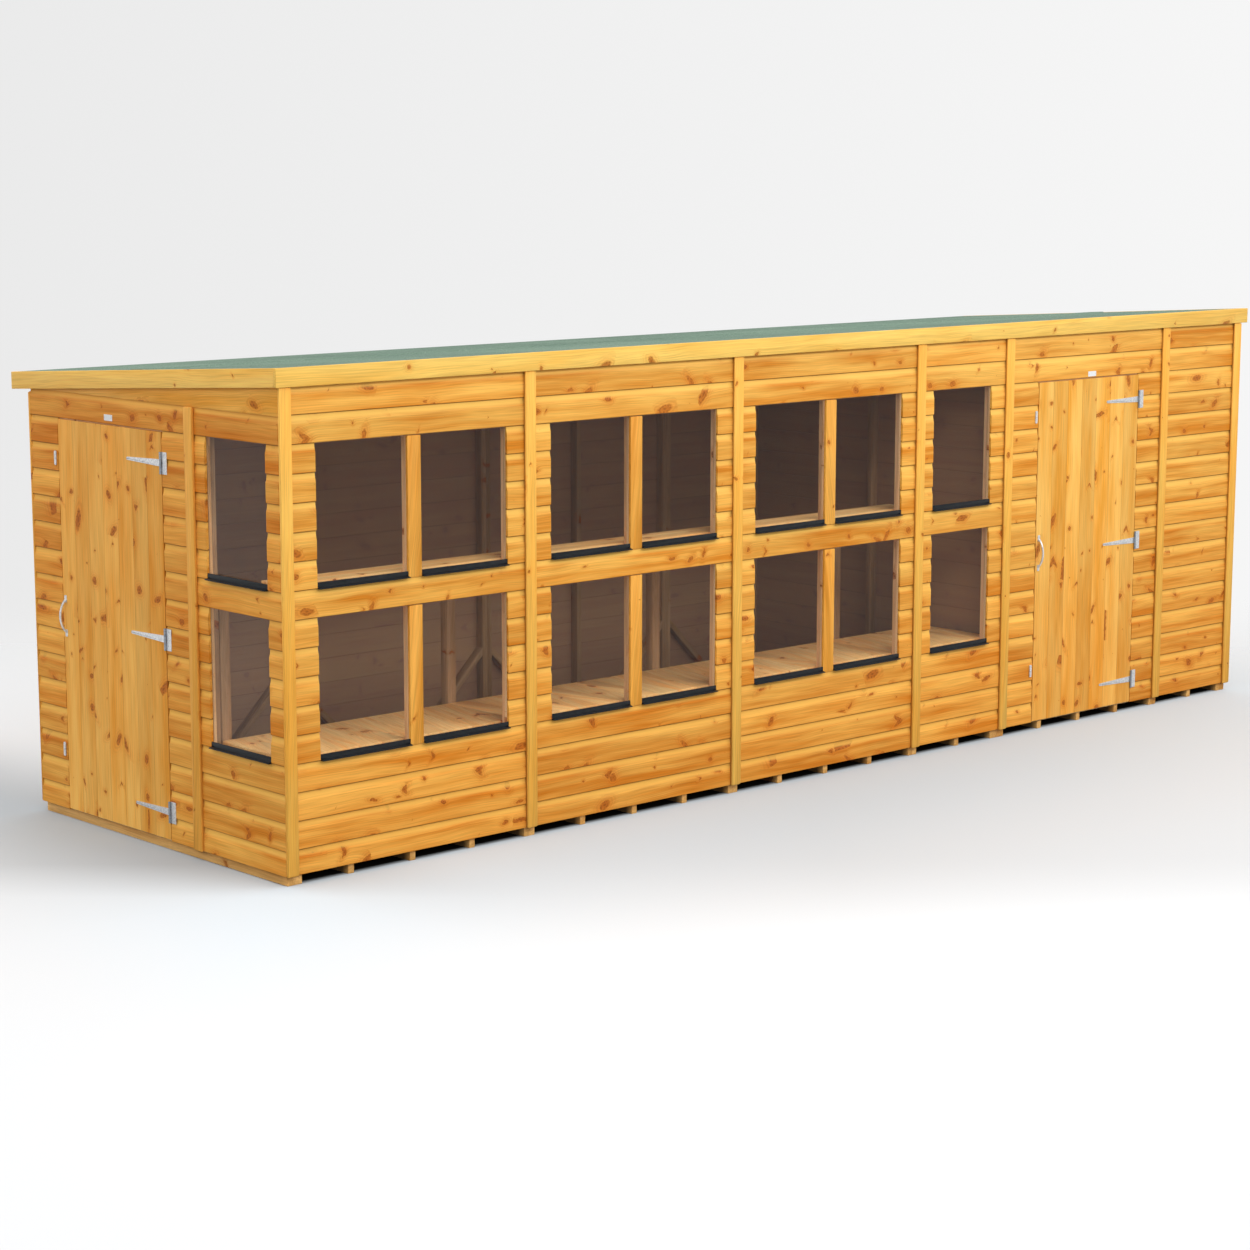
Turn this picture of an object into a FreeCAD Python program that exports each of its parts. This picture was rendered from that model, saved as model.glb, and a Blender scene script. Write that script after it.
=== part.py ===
import FreeCAD, Part
import math
import os
import re
import Sketcher

# A long timber potting shed with a side store, built panel by panel on joists.
# Millimetres, +Z up, the long front wall faces -Y. The origin lies on the ground under the
# middle joist of the third panel, halfway between front and back.

doc = FreeCAD.newDocument("PottingShed")
sheet = doc.addObject("Spreadsheet::Sheet", "Dims")

SIZES = {
    # walls in plan
    "wall_length": 6000,
    "wall_depth": 1762,
    "front_panel": 1170,
    "narrow_panel": 600,
    "end_joint": 580,
    "back_panels": 5,
    # floor
    "joist_height": 38,
    "joist_width": 28,
    "bearer_width": 69,
    "floor_thick": 12,
    # wall timbers
    "stud_depth": 44,
    "stud_face": 28,
    "mullion_stud": 41,
    # shiplap boards
    "cladding_thick": 12,
    "course": 110.8,
    "low_seam": 135.6,
    "cladding_bottom": 40,
    "board_lap": 8,
    "board_gap": 0.4,
    "lip_thick": 6,
    "scoop_height": 38,
    # cover strips
    "strip_width": 55,
    "strip_thick": 12,
    "strip_bottom": 38,
    "back_strip_drop": 14,
    # windows
    "pane_width": 437,
    "mullion_width": 65,
    "narrow_pane": 404,
    "end_pane": 400,
    "end_pane_margin": 85,
    "pane_thick": 3,
    "pane_lap": 10,
    "glazing_rebate": 12,
    "bead_gap": 0.5,
    "sill_height": 26,
    "sill_nose": 14,
    "sill_step": 4,
    "sill_thick": 4,
    "sill_set_back": 1.5,
    # doors
    "door_width": 762,
    "door_bottom": 45,
    "door_top": 1684,
    "door_gap": 3,
    "door_stop": 15,
    "door_boards": 7,
    "door_board_gap": 0.6,
    "door_board_bevel": 0.6,
    "door_seat": 0.5,
    "end_door_start": 215,
    "head_clear": 12,
    "ledge_height": 95,
    "ledge_thick": 18,
    "ledge_inset": 35,
    "brace_width": 90,
    "brace_gap": 0.3,
    # strap hinges
    "hinge_low": 159,
    "hinge_spacing": 702,
    "strap_length": 250,
    "strap_root": 31,
    "strap_tip": 18,
    "tip_nose": 8,
    "tip_round": 6,
    "leaf_thick": 2.2,
    "plate_width": 38,
    "plate_height": 88,
    "plate_slot": 32,
    "plate_relief": 5.5,
    "knuckle_radius": 5,
    "pin_radius": 3,
    "pin_clear": 0.05,
    "pin_proud": 5.5,
    # bow handles
    "handle_inset": 20,
    "handle_middle": 866,
    "handle_length": 144,
    "handle_reach": 29,
    "handle_wire": 5,
    "foot_width": 16,
    "foot_height": 30,
    "foot_thick": 3,
    # turn buttons
    "button_offset": 22,
    "button_high": 1522,
    "button_low": 296,
    "button_length": 60,
    "button_width": 15,
    "button_thick": 4,
    "button_stand_off": 1,
    "button_bore": 2.6,
    "screw_radius": 2.5,
    "screw_head_radius": 5.5,
    "screw_head": 2.5,
    "screw_head_gap": 0.3,
    # back wall braces
    "brace_rise": 350,
    "brace_thick": 28,
    # bench and shelf
    "bench_top": 488,
    "bench_back": 490,
    "bench_boards": 36,
    "bench_board_gap": 2,
    "bench_thick": 18,
    "bench_rail": 44,
    "bench_post_top": 1050,
    "bench_post_shift": 36,
    "shelf_top": 1155,
    "shelf_depth": 150,
    "shelf_thick": 18,
    "shelf_boards": 2,
    "bracket_reach": 130,
    "bracket_drop": 110,
    # roof
    "roof_front": 1974.5,
    "fascia_top": 1978,
    "roof_sheet": 11,
    "roof_back": 116,
    "roof_right": 25,
    "rafter_depth": 66,
    "rafter_back": 100,
    "batten_depth": 44,
    "fascia_height": 72,
    "fascia_thick": 18,
    "end_fascia_thick": 16,
    "felt_thick": 3,
    "felt_turn": 30,
    "felt_join": 900,
    "felt_lap": 80,
    "felt_ramp": 4,
    "felt_gap": 0.2,
    "seat_gap": 1,
    "partition_drop": 18,
}

for row, (alias, value) in enumerate(SIZES.items(), 1):
    sheet.set(f"A{row}", alias)
    sheet.set(f"B{row}", str(value))
    sheet.setAlias(f"B{row}", alias)
doc.recompute()

# Names for the lines the building is set out from, written in the driving sizes.
END_WALL = "(cladding_thick + stud_depth)"
FLOOR_TOP = "(joist_height + floor_thick)"
JOINTS = [END_WALL] + [f"({END_WALL} + {count}*front_panel)" for count in (1, 2, 3)]
PARTITION = f"({JOINTS[3]} + narrow_panel)"
STORE = f"({PARTITION} + stud_depth)"
STORE_SPLIT = f"({PARTITION} + stud_depth/2)"
LAST_JOINT = f"({STORE} + front_panel)"
FRAME_STARTS = JOINTS + [STORE, LAST_JOINT]
FRAME_ENDS = JOINTS[1:] + [PARTITION, LAST_JOINT, f"(wall_length - {END_WALL})"]
CLAD_STARTS = ["cladding_thick"] + JOINTS[1:] + [STORE_SPLIT, LAST_JOINT]
CLAD_ENDS = JOINTS[1:] + [STORE_SPLIT, LAST_JOINT, "(wall_length - cladding_thick)"]
FRONT_COURSES = 17
END_COURSES = 16
ROOF_SLOPE = "(course/wall_depth)"
BACK_PANEL = f"((wall_length - 2*{END_WALL})/back_panels)"
ORIGIN = f"(({JOINTS[2]} + {JOINTS[3]})/2)"
FRONT_DOOR = f"({STORE} + (front_panel - door_width)/2)"
END_PANEL = "(wall_depth - end_joint)"
END_WINDOW = "(wall_depth - end_pane_margin - end_pane)"

# Course numbers of the window openings: first short course and how many of them.
LOWER_ROW = 4
UPPER_ROW = 10
WINDOW_ROWS = 5
DOOR_ROWS = 15

# Back panels that have a middle post, counted from the store's end of the wall.
MIDDLE_POSTS = 3

# An eight-sided outline is this much narrower across its flats than across its corners.
FLAT_SHARE = f"{math.cos(math.pi/8):.4f}"

nodes = []


def named(text):
    """Put the sheet's name before every size named in an expression."""
    return re.sub(r"[a-z][a-z_]*", r"Dims.\g<0>", str(text))


def bind(piece, side, text):
    piece.setExpression(side, named(text))


def seam(count):
    """Height of the top of a course, counted from the ripped one at the bottom."""
    return f"(low_seam + {count}*course)"


def front_top():
    return seam(FRONT_COURSES - 1)


def end_top():
    return seam(END_COURSES - 1)


def roof_at(depth):
    """Height of the top of the roof sheets, a given distance back from the front wall."""
    return f"(roof_front - {ROOF_SLOPE}*({depth}))"


# Each wall has its own setting out: u runs right seen from outside, v runs inward, z up.
WALLS = {
    "front": (0, "{u}", "{v}"),
    "left": (-90, "{v}", "wall_depth - ({u})"),
    "right": (90, "wall_length - ({v})", "{u}"),
    "back": (180, "wall_length - ({u})", "wall_depth - ({v})"),
    "partition": (90, f"{STORE} + cladding_thick - ({{v}})", "{u}"),
}


def stand(piece, wall="front", along="0", up="0", inward="0"):
    """Set a piece on its wall, some way along it, up it and into it."""
    turn, across, back = WALLS[wall]
    upright = FreeCAD.Vector(0, 0, 1)
    piece.Placement = FreeCAD.Placement(FreeCAD.Vector(), FreeCAD.Rotation(upright, turn))
    bind(piece, "Placement.Base.x", f"{across.format(u=along, v=inward)} - {ORIGIN}")
    bind(piece, "Placement.Base.y", f"{back.format(u=along, v=inward)} - wall_depth/2")
    bind(piece, "Placement.Base.z", up)
    return piece


def finish(label, piece):
    """Keep a piece, or a set of like pieces, as one named sub-part."""
    piece.Label = label
    nodes.append(piece)


def gather(pieces):
    """Bring separate pieces together as one set."""
    bundle = doc.addObject("Part::Compound", "Set")
    bundle.Links = pieces
    return bundle


def timber(start, size):
    """A plain squared length of wood, given by one corner and its three sizes."""
    piece = doc.addObject("Part::Box", "Timber")
    for side, text in zip(("Length", "Width", "Height"), size):
        bind(piece, side, text)
    for axis, text in zip("xyz", start):
        bind(piece, "Placement.Base." + axis, text)
    return piece


def new_body(label):
    body = doc.addObject("PartDesign::Body", label)
    body.AllowCompound = True
    return body


def origin_part(body, role):
    return next(part for part in body.Origin.OriginFeatures if part.Role == role)


def attach(feature, body, role, offset):
    feature.AttachmentSupport = (origin_part(body, role), [""])
    feature.MapMode = "FlatFace"
    for axis, text in zip("xyz", offset):
        bind(feature, "AttachmentOffset.Base." + axis, text)
    return feature


def draw(body, role, points, lift="0"):
    """A closed outline on one of the body's planes, each corner held from the origin."""
    sketch = body.newObject("Sketcher::SketchObject", "Outline")
    attach(sketch, body, role, ("0", "0", lift))
    count = len(points)
    angles = [2*math.pi*corner/count for corner in range(count + 1)]
    rough = [FreeCAD.Vector(math.cos(angle), math.sin(angle), 0) for angle in angles]
    sketch.addGeometry([Part.LineSegment(*ends) for ends in zip(rough, rough[1:])])
    for corner in range(count):
        following = (corner + 1) % count
        sketch.addConstraint(Sketcher.Constraint("Coincident", corner, 2, following, 1))
    for corner, place in enumerate(points):
        for kind, axis, text in zip(("DistanceX", "DistanceY"), (-2, -1), place):
            if text == "0":
                sketch.addConstraint(Sketcher.Constraint("PointOnObject", corner, 1, axis))
                continue
            held = sketch.addConstraint(Sketcher.Constraint(kind, -1, 1, corner, 1, 1.0))
            bind(sketch, f"Constraints[{held}]", text)
    return sketch


def rectangle(left, low, right, high):
    return [(left, low), (right, low), (right, high), (left, high)]


def pad(body, sketch, length, inward=False):
    """Give an outline its thickness."""
    feature = body.newObject("PartDesign::Pad", "Pad")
    feature.Profile = sketch
    bind(feature, "Length", length)
    feature.Reversed = inward
    return feature


def cut_through(body, sketch):
    feature = body.newObject("PartDesign::Pocket", "Trim")
    feature.Profile = sketch
    feature.Type = "ThroughAll"
    return feature


def repeat(body, features, role, length, count):
    """Repeat features along an axis, the given length between the first and the last."""
    pattern = body.newObject("PartDesign::LinearPattern", "Row")
    pattern.Originals = features
    pattern.Direction = (origin_part(body, role), [""])
    bind(pattern, "Length", length)
    bind(pattern, "Occurrences", count)
    body.Tip = pattern
    return pattern


def round_bar(body, kind, role, offset, radius, length):
    """A cylinder that adds to a body or bores into it."""
    feature = attach(body.newObject(f"PartDesign::{kind}Cylinder", "Round"), body, role, offset)
    bind(feature, "Radius", radius)
    bind(feature, "Height", length)
    return feature


# Floor: joists on the ground under six sections, then a sheet over each section.
JOIST_COUNTS = (3, 3, 3, 1, 3, 1)
joists = []
sheets = []
inside_depth = "(wall_depth - 2*cladding_thick)"
for section, (start, end, between) in enumerate(zip(CLAD_STARTS, CLAD_ENDS, JOIST_COUNTS)):
    first = "bearer_width" if section == 0 else "joist_width"
    last = "bearer_width" if section in (3, 5) else "joist_width"
    places = [(start, first), (f"{end} - {last}", last)]
    for step in range(1, between + 1):
        middle = f"{start} + {step}/{between + 1}*({end} - {start}) - joist_width/2"
        places.append((middle, "joist_width"))
    for place, width in places:
        joists.append(timber((place, "cladding_thick", "0"), (width, inside_depth, "joist_height")))
    sheets.append(timber((start, "cladding_thick", "joist_height"),
                         (f"{end} - {start}", inside_depth, "floor_thick")))
finish("floor_joists", stand(gather(joists)))
finish("floor_sheets", stand(gather(sheets)))


def post(start, low, high, face="stud_face"):
    """An upright of a wall frame."""
    return timber((start, "cladding_thick", low), (face, "stud_depth", f"{high} - ({low})"))


def rail(start, end, low):
    """A level timber of a wall frame."""
    return timber((start, "cladding_thick", low), (f"{end} - ({start})", "stud_depth", "stud_face"))


POST_LOW = f"({FLOOR_TOP} + stud_face)"


def carcass(start, end, top):
    """The four outer timbers of a wall panel."""
    high = f"({top} - stud_face)"
    sides = [post(start, POST_LOW, high), post(f"{end} - stud_face", POST_LOW, high)]
    return sides + [rail(start, end, FLOOR_TOP), rail(start, end, high)]


def middle_post(start, end, top):
    return post(f"({start} + {end} - stud_face)/2", POST_LOW, f"({top} - stud_face)")


# Heights of the bottom and top edges of the two rows of panes.
PANE_ROWS = [(seam(LOWER_ROW - 1), seam(LOWER_ROW - 1 + WINDOW_ROWS)),
             (seam(UPPER_ROW - 1), seam(UPPER_ROW - 1 + WINDOW_ROWS))]


def window_timbers(left, right, top, paired):
    """Jambs, rails and mullion posts round a window, set back to leave a glazing rebate."""
    left_face = f"({left} - glazing_rebate)"
    right_face = f"({right} + glazing_rebate)"
    high = f"({top} - stud_face)"
    pieces = [post(f"{left_face} - stud_face", POST_LOW, high), post(right_face, POST_LOW, high)]
    for low_edge, high_edge in PANE_ROWS:
        low_face = f"({low_edge} - glazing_rebate)"
        high_face = f"({high_edge} + glazing_rebate)"
        pieces.append(rail(left_face, right_face, f"{low_face} - stud_face"))
        pieces.append(rail(left_face, right_face, high_face))
        if paired:
            centre = f"({left} + {right} - mullion_stud)/2"
            pieces.append(post(centre, low_face, high_face, "mullion_stud"))
    return pieces


def door_timbers(start, top):
    """Jambs that stand past the cladding as stops, and a head rail between them."""
    left_face = f"({start} - door_gap + door_stop)"
    right_face = f"({start} + door_width + door_gap - door_stop)"
    high = f"({top} - stud_face)"
    head = rail(left_face, right_face, "(door_top - head_clear)")
    jambs = [post(f"{left_face} - stud_face", POST_LOW, high), post(right_face, POST_LOW, high)]
    return jambs + [head]


# Window openings of the front panels: two panes and a mullion, or one narrow pane.
PAIR_WIDTH = "(2*pane_width + mullion_width)"
FRONT_WINDOWS = []
for bay in range(4):
    width = PAIR_WIDTH if bay < 3 else "narrow_pane"
    centre = f"({FRAME_STARTS[bay]} + {FRAME_ENDS[bay]})/2"
    FRONT_WINDOWS.append((f"({centre} - {width}/2)", f"({centre} + {width}/2)"))

for bay, (start, end) in enumerate(zip(FRAME_STARTS, FRAME_ENDS)):
    timbers = carcass(start, end, front_top())
    if bay < 4:
        timbers += window_timbers(*FRONT_WINDOWS[bay], front_top(), bay < 3)
    elif bay == 4:
        timbers += door_timbers(FRONT_DOOR, front_top())
    else:
        timbers.append(middle_post(start, end, front_top()))
    finish(f"front_frame_{bay + 1}", stand(gather(timbers)))

end_back = "cladding_thick"
end_front = "(wall_depth - cladding_thick)"
timbers = carcass(end_back, END_PANEL, end_top()) + door_timbers("end_door_start", end_top())
finish("left_door_frame", stand(gather(timbers), "left"))
timbers = carcass(END_PANEL, end_front, end_top())
timbers += window_timbers(END_WINDOW, f"({END_WINDOW} + end_pane)", end_top(), False)
finish("left_window_frame", stand(gather(timbers), "left"))

timbers = carcass("cladding_thick", "end_joint", end_top())
timbers += carcass("end_joint", end_front, end_top())
timbers.append(middle_post("cladding_thick", "end_joint", end_top()))
timbers.append(middle_post("end_joint", end_front, end_top()))
finish("right_frames", stand(gather(timbers), "right"))

timbers = []
for count in range(SIZES["back_panels"]):
    start = f"({END_WALL} + {count}*{BACK_PANEL})"
    end = f"({END_WALL} + {count + 1}*{BACK_PANEL})"
    timbers += carcass(start, end, end_top())
    if count < MIDDLE_POSTS:
        timbers.append(middle_post(start, end, end_top()))
finish("back_frames", stand(gather(timbers), "back"))

# Knee braces cross both lower corners of every back panel.
braces = new_body("back_braces")
pads = []
brace_cut = f"{math.sqrt(2):.4f}*brace_thick"
panel_faces = [(f"({END_WALL} + stud_face)", "+"), (f"({END_WALL} + {BACK_PANEL} - stud_face)", "-")]
for face, side in panel_faces:
    inner = f"{face} {side} (brace_rise - {brace_cut})"
    outer = f"{face} {side} brace_rise"
    corners = [(face, f"{POST_LOW} + brace_rise"),
               (face, f"{POST_LOW} + brace_rise - {brace_cut}"),
               (inner, POST_LOW), (outer, POST_LOW)]
    sketch = draw(braces, "XZ_Plane", corners, "-cladding_thick")
    pads.append(pad(braces, sketch, "stud_depth", inward=True))
repeat(braces, pads, "X_Axis", f"(back_panels - 1)*{BACK_PANEL}", "back_panels")
finish("back_braces", stand(braces, "back"))

partition_top = f"({end_top()} - partition_drop)"
partition_end = f"(wall_depth - {END_WALL})"
timbers = carcass("cladding_thick", partition_end, partition_top)
timbers.append(middle_post("cladding_thick", partition_end, partition_top))
finish("partition_frame", stand(gather(timbers), "partition"))


# Cladding: scooped shiplap boards, each lapped over the tongue of the one below.
def lay_boards(body, first, count, start, length):
    low = seam(first - 1)
    corners = [("0", f"{low} + board_gap"),
               ("lip_thick", f"{low} + board_gap"),
               ("cladding_thick", f"{low} + board_gap + board_lap"),
               ("cladding_thick", f"{low} + course + board_lap"),
               ("lip_thick", f"{low} + course"),
               ("0", f"{low} + course - scoop_height")]
    board = pad(body, draw(body, "YZ_Plane", corners, start), length)
    if count > 1:
        repeat(body, [board], "Z_Axis", f"{count - 1}*course", count)


def clad(label, wall, start, end, courses, gaps=(), bottom="cladding_bottom"):
    """One panel's boards, stopped either side of its openings, trimmed top and bottom."""
    body = new_body(label)
    full = [row for row in range(courses) if not any(row in rows for rows, _, _ in gaps)]
    runs = []
    for row in full:
        if runs and runs[-1][0] + runs[-1][1] == row:
            runs[-1][1] += 1
        else:
            runs.append([row, 1])
    for first, count in runs:
        lay_boards(body, first, count, start, f"{end} - {start}")
    for rows, left, right in gaps:
        lay_boards(body, rows[0], len(rows), start, f"{left} - {start}")
        lay_boards(body, rows[0], len(rows), right, f"{end} - {right}")
    top = seam(courses - 1)
    cut_through(body, draw(body, "XZ_Plane", rectangle(start, "0", end, bottom)))
    cut_through(body, draw(body, "XZ_Plane", rectangle(start, top, end, f"{top} + 2*board_lap")))
    return stand(body, wall)


def window_gaps(left, right):
    rows = [range(first, first + WINDOW_ROWS) for first in (LOWER_ROW, UPPER_ROW)]
    return [(row, left, right) for row in rows]


def door_gaps(start):
    return [(range(DOOR_ROWS), f"({start} - door_gap)", f"({start} + door_width + door_gap)")]


for bay, (start, end) in enumerate(zip(CLAD_STARTS, CLAD_ENDS)):
    gaps = []
    if bay < 4:
        gaps = window_gaps(*FRONT_WINDOWS[bay])
    elif bay == 4:
        gaps = door_gaps(FRONT_DOOR)
    label = f"front_cladding_{bay + 1}"
    finish(label, clad(label, "front", start, end, FRONT_COURSES, gaps))

finish("left_door_cladding", clad("left_door_cladding", "left", "0", END_PANEL, END_COURSES,
                                  door_gaps("end_door_start")))
finish("left_window_cladding", clad("left_window_cladding", "left", END_PANEL, "wall_depth",
                                    END_COURSES, window_gaps(END_WINDOW, f"({END_WINDOW} + end_pane)")))
rights = [clad("right_boards_1", "right", "0", "end_joint", END_COURSES),
          clad("right_boards_2", "right", "end_joint", "wall_depth", END_COURSES)]
finish("right_cladding", gather(rights))

backs = []
for count in range(SIZES["back_panels"]):
    start = f"({END_WALL} + {count}*{BACK_PANEL})" if count else "cladding_thick"
    last = count + 1 == SIZES["back_panels"]
    end = "(wall_length - cladding_thick)" if last else f"({END_WALL} + {count + 1}*{BACK_PANEL})"
    backs.append(clad(f"back_boards_{count + 1}", "back", start, end, END_COURSES))
finish("back_cladding", gather(backs))
finish("partition_cladding", clad("partition_cladding", "partition", END_WALL, partition_end,
                                  END_COURSES, bottom=FLOOR_TOP))


# Sloped boards and solid rafters fill the wedge between each end wall and the roof.
def wedge(label, wall, near, far, inset, thick):
    """A wedge on an end wall; near and far are its two ends' distances from the front."""
    body = new_body(label)
    under = "roof_sheet"
    corners = [(inset, end_top()), (f"wall_depth - {inset}", end_top()),
               (f"wall_depth - {inset}", f"{roof_at(far)} - {under}"),
               (inset, f"{roof_at(near)} - {under}")]
    lift = "0" if inset == "0" else f"-{inset}"
    pad(body, draw(body, "XZ_Plane", corners, lift), thick, inward=True)
    return stand(body, wall)


finish("end_wedge_boards", gather([
    wedge("left_board", "left", "wall_depth", "0", "0", "cladding_thick"),
    wedge("right_board", "right", "0", "wall_depth", "0", "cladding_thick")]))
rear = "(wall_depth - cladding_thick)"
finish("end_wedge_rafters", gather([
    wedge("left_rafter", "left", rear, "cladding_thick", "cladding_thick", "stud_depth"),
    wedge("right_rafter", "right", "cladding_thick", rear, "cladding_thick", "stud_depth")]))


# Cover strips hide the corners and the joints between panels.
def cover_strip(centre, top):
    return timber((f"{centre} - strip_width/2", "-strip_thick", "strip_bottom"),
                  ("strip_width", "strip_thick", f"{top} - strip_bottom"))


strip_top = "(fascia_top - fascia_height)"
corners = ["strip_width/2", "(wall_length - strip_width/2)"]
centres = corners + JOINTS[1:] + [STORE_SPLIT, LAST_JOINT]
finish("front_cover_strips", stand(gather([cover_strip(place, strip_top) for place in centres])))
left_strip = stand(gather([cover_strip(END_PANEL, end_top())]), "left")
right_strip = stand(gather([cover_strip("end_joint", end_top())]), "right")
finish("end_cover_strips", gather([left_strip, right_strip]))
centres = corners + [f"({END_WALL} + {count}*{BACK_PANEL})" for count in range(1, SIZES["back_panels"])]
back_top = f"({end_top()} - back_strip_drop)"
finish("back_cover_strips", stand(gather([cover_strip(place, back_top) for place in centres]), "back"))

# Windows: mullion boards, panes, the bead rings behind them and the sill strips in front.
PANES = []
for left, right in FRONT_WINDOWS[:3]:
    PANES.append(("front", left, f"({left} + pane_width)"))
    PANES.append(("front", f"({right} - pane_width)", right))
PANES.append(("front", *FRONT_WINDOWS[3]))
PANES.append(("left", END_WINDOW, f"({END_WINDOW} + end_pane)"))

mullions = new_body("window_mullions")
low, high = PANE_ROWS[0]
corners = [("0", f"{low} + board_gap"), ("lip_thick", f"{low} + board_gap"),
           ("cladding_thick", f"{low} + board_gap + board_lap"),
           ("cladding_thick", high), ("0", high)]
pads = []
for left, _ in FRONT_WINDOWS[:3]:
    outline = draw(mullions, "YZ_Plane", corners, f"{left} + pane_width")
    pads.append(pad(mullions, outline, "mullion_width"))
repeat(mullions, pads, "Z_Axis", f"{UPPER_ROW - LOWER_ROW}*course", 2)
finish("window_mullions", stand(mullions))


def on_walls(make):
    """Make a piece for every pane and gather them on the walls they belong to."""
    bundles = []
    for wall in ("front", "left"):
        pieces = []
        for pane_wall, left, right in PANES:
            if pane_wall == wall:
                pieces += [make(left, right, low, high) for low, high in PANE_ROWS]
        bundles.append(stand(gather(pieces), wall))
    return gather(bundles)


def block(left, right, low, high, grow, front, thick):
    """A flat block behind a window opening, grown past its edges on all sides."""
    return timber((f"{left} - {grow}", front, f"{low} - {grow}"),
                  (f"{right} - {left} + 2*{grow}", thick, f"{high} - {low} + 2*{grow}"))


def glass(left, right, low, high):
    return block(left, right, low, high, "pane_lap", "cladding_thick", "pane_thick")


def bead(left, right, low, high):
    front = "cladding_thick + pane_thick"
    ring = doc.addObject("Part::Cut", "Ring")
    ring.Base = block(left, right, low, high, "(glazing_rebate - bead_gap)", front, "glazing_rebate")
    ring.Tool = block(left, right, low, high, "0", front, "glazing_rebate")
    return ring


finish("window_panes", on_walls(glass))
finish("glazing_beads", on_walls(bead))


def sill(wall):
    """A stepped plastic strip along the foot of every pane on a wall."""
    body = new_body(f"{wall}_sills")
    pads = []
    low = PANE_ROWS[0][0]
    back = "(sill_set_back + sill_thick)"
    corners = [("-sill_nose", f"{low} + board_gap"), (back, f"{low} + board_gap"),
               (back, f"{low} + sill_height"), ("sill_set_back", f"{low} + sill_height"),
               ("sill_set_back", f"{low} + 2*sill_step"), ("-sill_nose", f"{low} + sill_step")]
    for pane_wall, left, right in PANES:
        if pane_wall == wall:
            pads.append(pad(body, draw(body, "YZ_Plane", corners, left), f"{right} - {left}"))
    repeat(body, pads, "Z_Axis", f"{UPPER_ROW - LOWER_ROW}*course", 2)
    return stand(body, wall)


finish("sill_strips", gather([sill("front"), sill("left")]))

# Potting bench along the front behind the lower panes, shelf behind the upper ones.
bench = new_body("bench_boards")
bench_start = f"({END_WALL} + seat_gap)"
bench_length = f"({PARTITION} - {END_WALL} - 2*seat_gap)"
bench_pitch = f"({bench_length}/bench_boards)"
corners = rectangle(bench_start, bench_start, f"{bench_start} + {bench_pitch} - bench_board_gap",
                    "bench_back")
board = pad(bench, draw(bench, "XY_Plane", corners, "bench_top - bench_thick"), "bench_thick")
repeat(bench, [board], "X_Axis", f"{bench_length} - {bench_pitch}", "bench_boards")
finish("bench_boards", stand(bench))

rail_low = "(bench_top - bench_thick - bench_rail)"
supports = []
for front in (END_WALL, "(bench_back - bench_rail)"):
    supports.append(timber((bench_start, front, rail_low), (bench_length, "bench_rail", "bench_rail")))
posts = [bench_start] + [f"({joint} - bench_post_shift)" for joint in JOINTS[1:]]
posts.append(f"({PARTITION} - seat_gap - bench_rail)")
for start in posts:
    supports.append(timber((start, "bench_back", FLOOR_TOP),
                           ("bench_rail", "bench_rail", f"bench_post_top - {FLOOR_TOP}")))
finish("bench_supports", stand(gather(supports)))

shelves = []
shelf_length = "(3*front_panel + stud_face)"
for count in range(SIZES["shelf_boards"]):
    front = f"{END_WALL} + {count}*shelf_depth/shelf_boards + seat_gap"
    shelves.append(timber((bench_start, front, "shelf_top - shelf_thick"),
                          (shelf_length, "shelf_depth/shelf_boards - seat_gap", "shelf_thick")))
finish("shelf_boards", stand(gather(shelves)))

brackets = new_body("shelf_brackets")
under = "(shelf_top - shelf_thick)"
corners = [(END_WALL, under), (END_WALL, f"{under} - bracket_drop"),
           (f"{END_WALL} + bracket_reach", under)]
bracket = pad(brackets, draw(brackets, "YZ_Plane", corners, END_WALL), "stud_face")
repeat(brackets, [bracket], "X_Axis", "3*front_panel", 7)
finish("shelf_brackets", stand(brackets))


# Roof: notched rafters over both walls, sheets, felt and fascia boards.
def slab(body, start, width, front, back, top, bottom):
    """A sloped piece that follows the roof, between two depths below the sheets' top."""
    corners = [(front, f"{roof_at(front)} - {bottom}"), (back, f"{roof_at(back)} - {bottom}"),
               (back, f"{roof_at(back)} - {top}"), (front, f"{roof_at(front)} - {top}")]
    return pad(body, draw(body, "YZ_Plane", corners, start), width)


rafters = new_body("rafters")
eaves = "(wall_depth + rafter_back)"


def rafter_under(depth):
    return f"{roof_at(depth)} - roof_sheet - rafter_depth"


front_notch = f"({END_WALL} + seat_gap)"
back_notch = f"(wall_depth - {END_WALL} - seat_gap)"
back_face = "(wall_depth + seat_gap)"
corners = [("0", f"{roof_at(0)} - roof_sheet"), (eaves, f"{roof_at(eaves)} - roof_sheet"),
           (eaves, rafter_under(eaves)), (back_face, rafter_under(back_face)),
           (back_face, end_top()), (back_notch, end_top()),
           (back_notch, rafter_under(back_notch)), (front_notch, rafter_under(front_notch)),
           (front_notch, front_top()), ("0", front_top())]
places = [f"{END_WALL} + {count}*front_panel/2" for count in range(1, 7)]
places += [STORE_SPLIT, f"{STORE} + front_panel/2", LAST_JOINT]
for place in places:
    pad(rafters, draw(rafters, "YZ_Plane", corners, f"{place} - stud_face/2"), "stud_face")
slab(rafters, "wall_length", "roof_right", "0", eaves, "roof_sheet", "(roof_sheet + batten_depth)")
finish("rafters", stand(rafters))

roof_end = "(wall_depth + roof_back)"
edges = ["0", JOINTS[1], JOINTS[2], JOINTS[3], f"({STORE} + front_panel/2)", "(wall_length + roof_right)"]
roofs = new_body("roof_sheets")
for start, end in zip(edges, edges[1:]):
    slab(roofs, start, f"{end} - {start} - seat_gap", "0", roof_end, "0", "roof_sheet")
finish("roof_sheets", stand(roofs))

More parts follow.
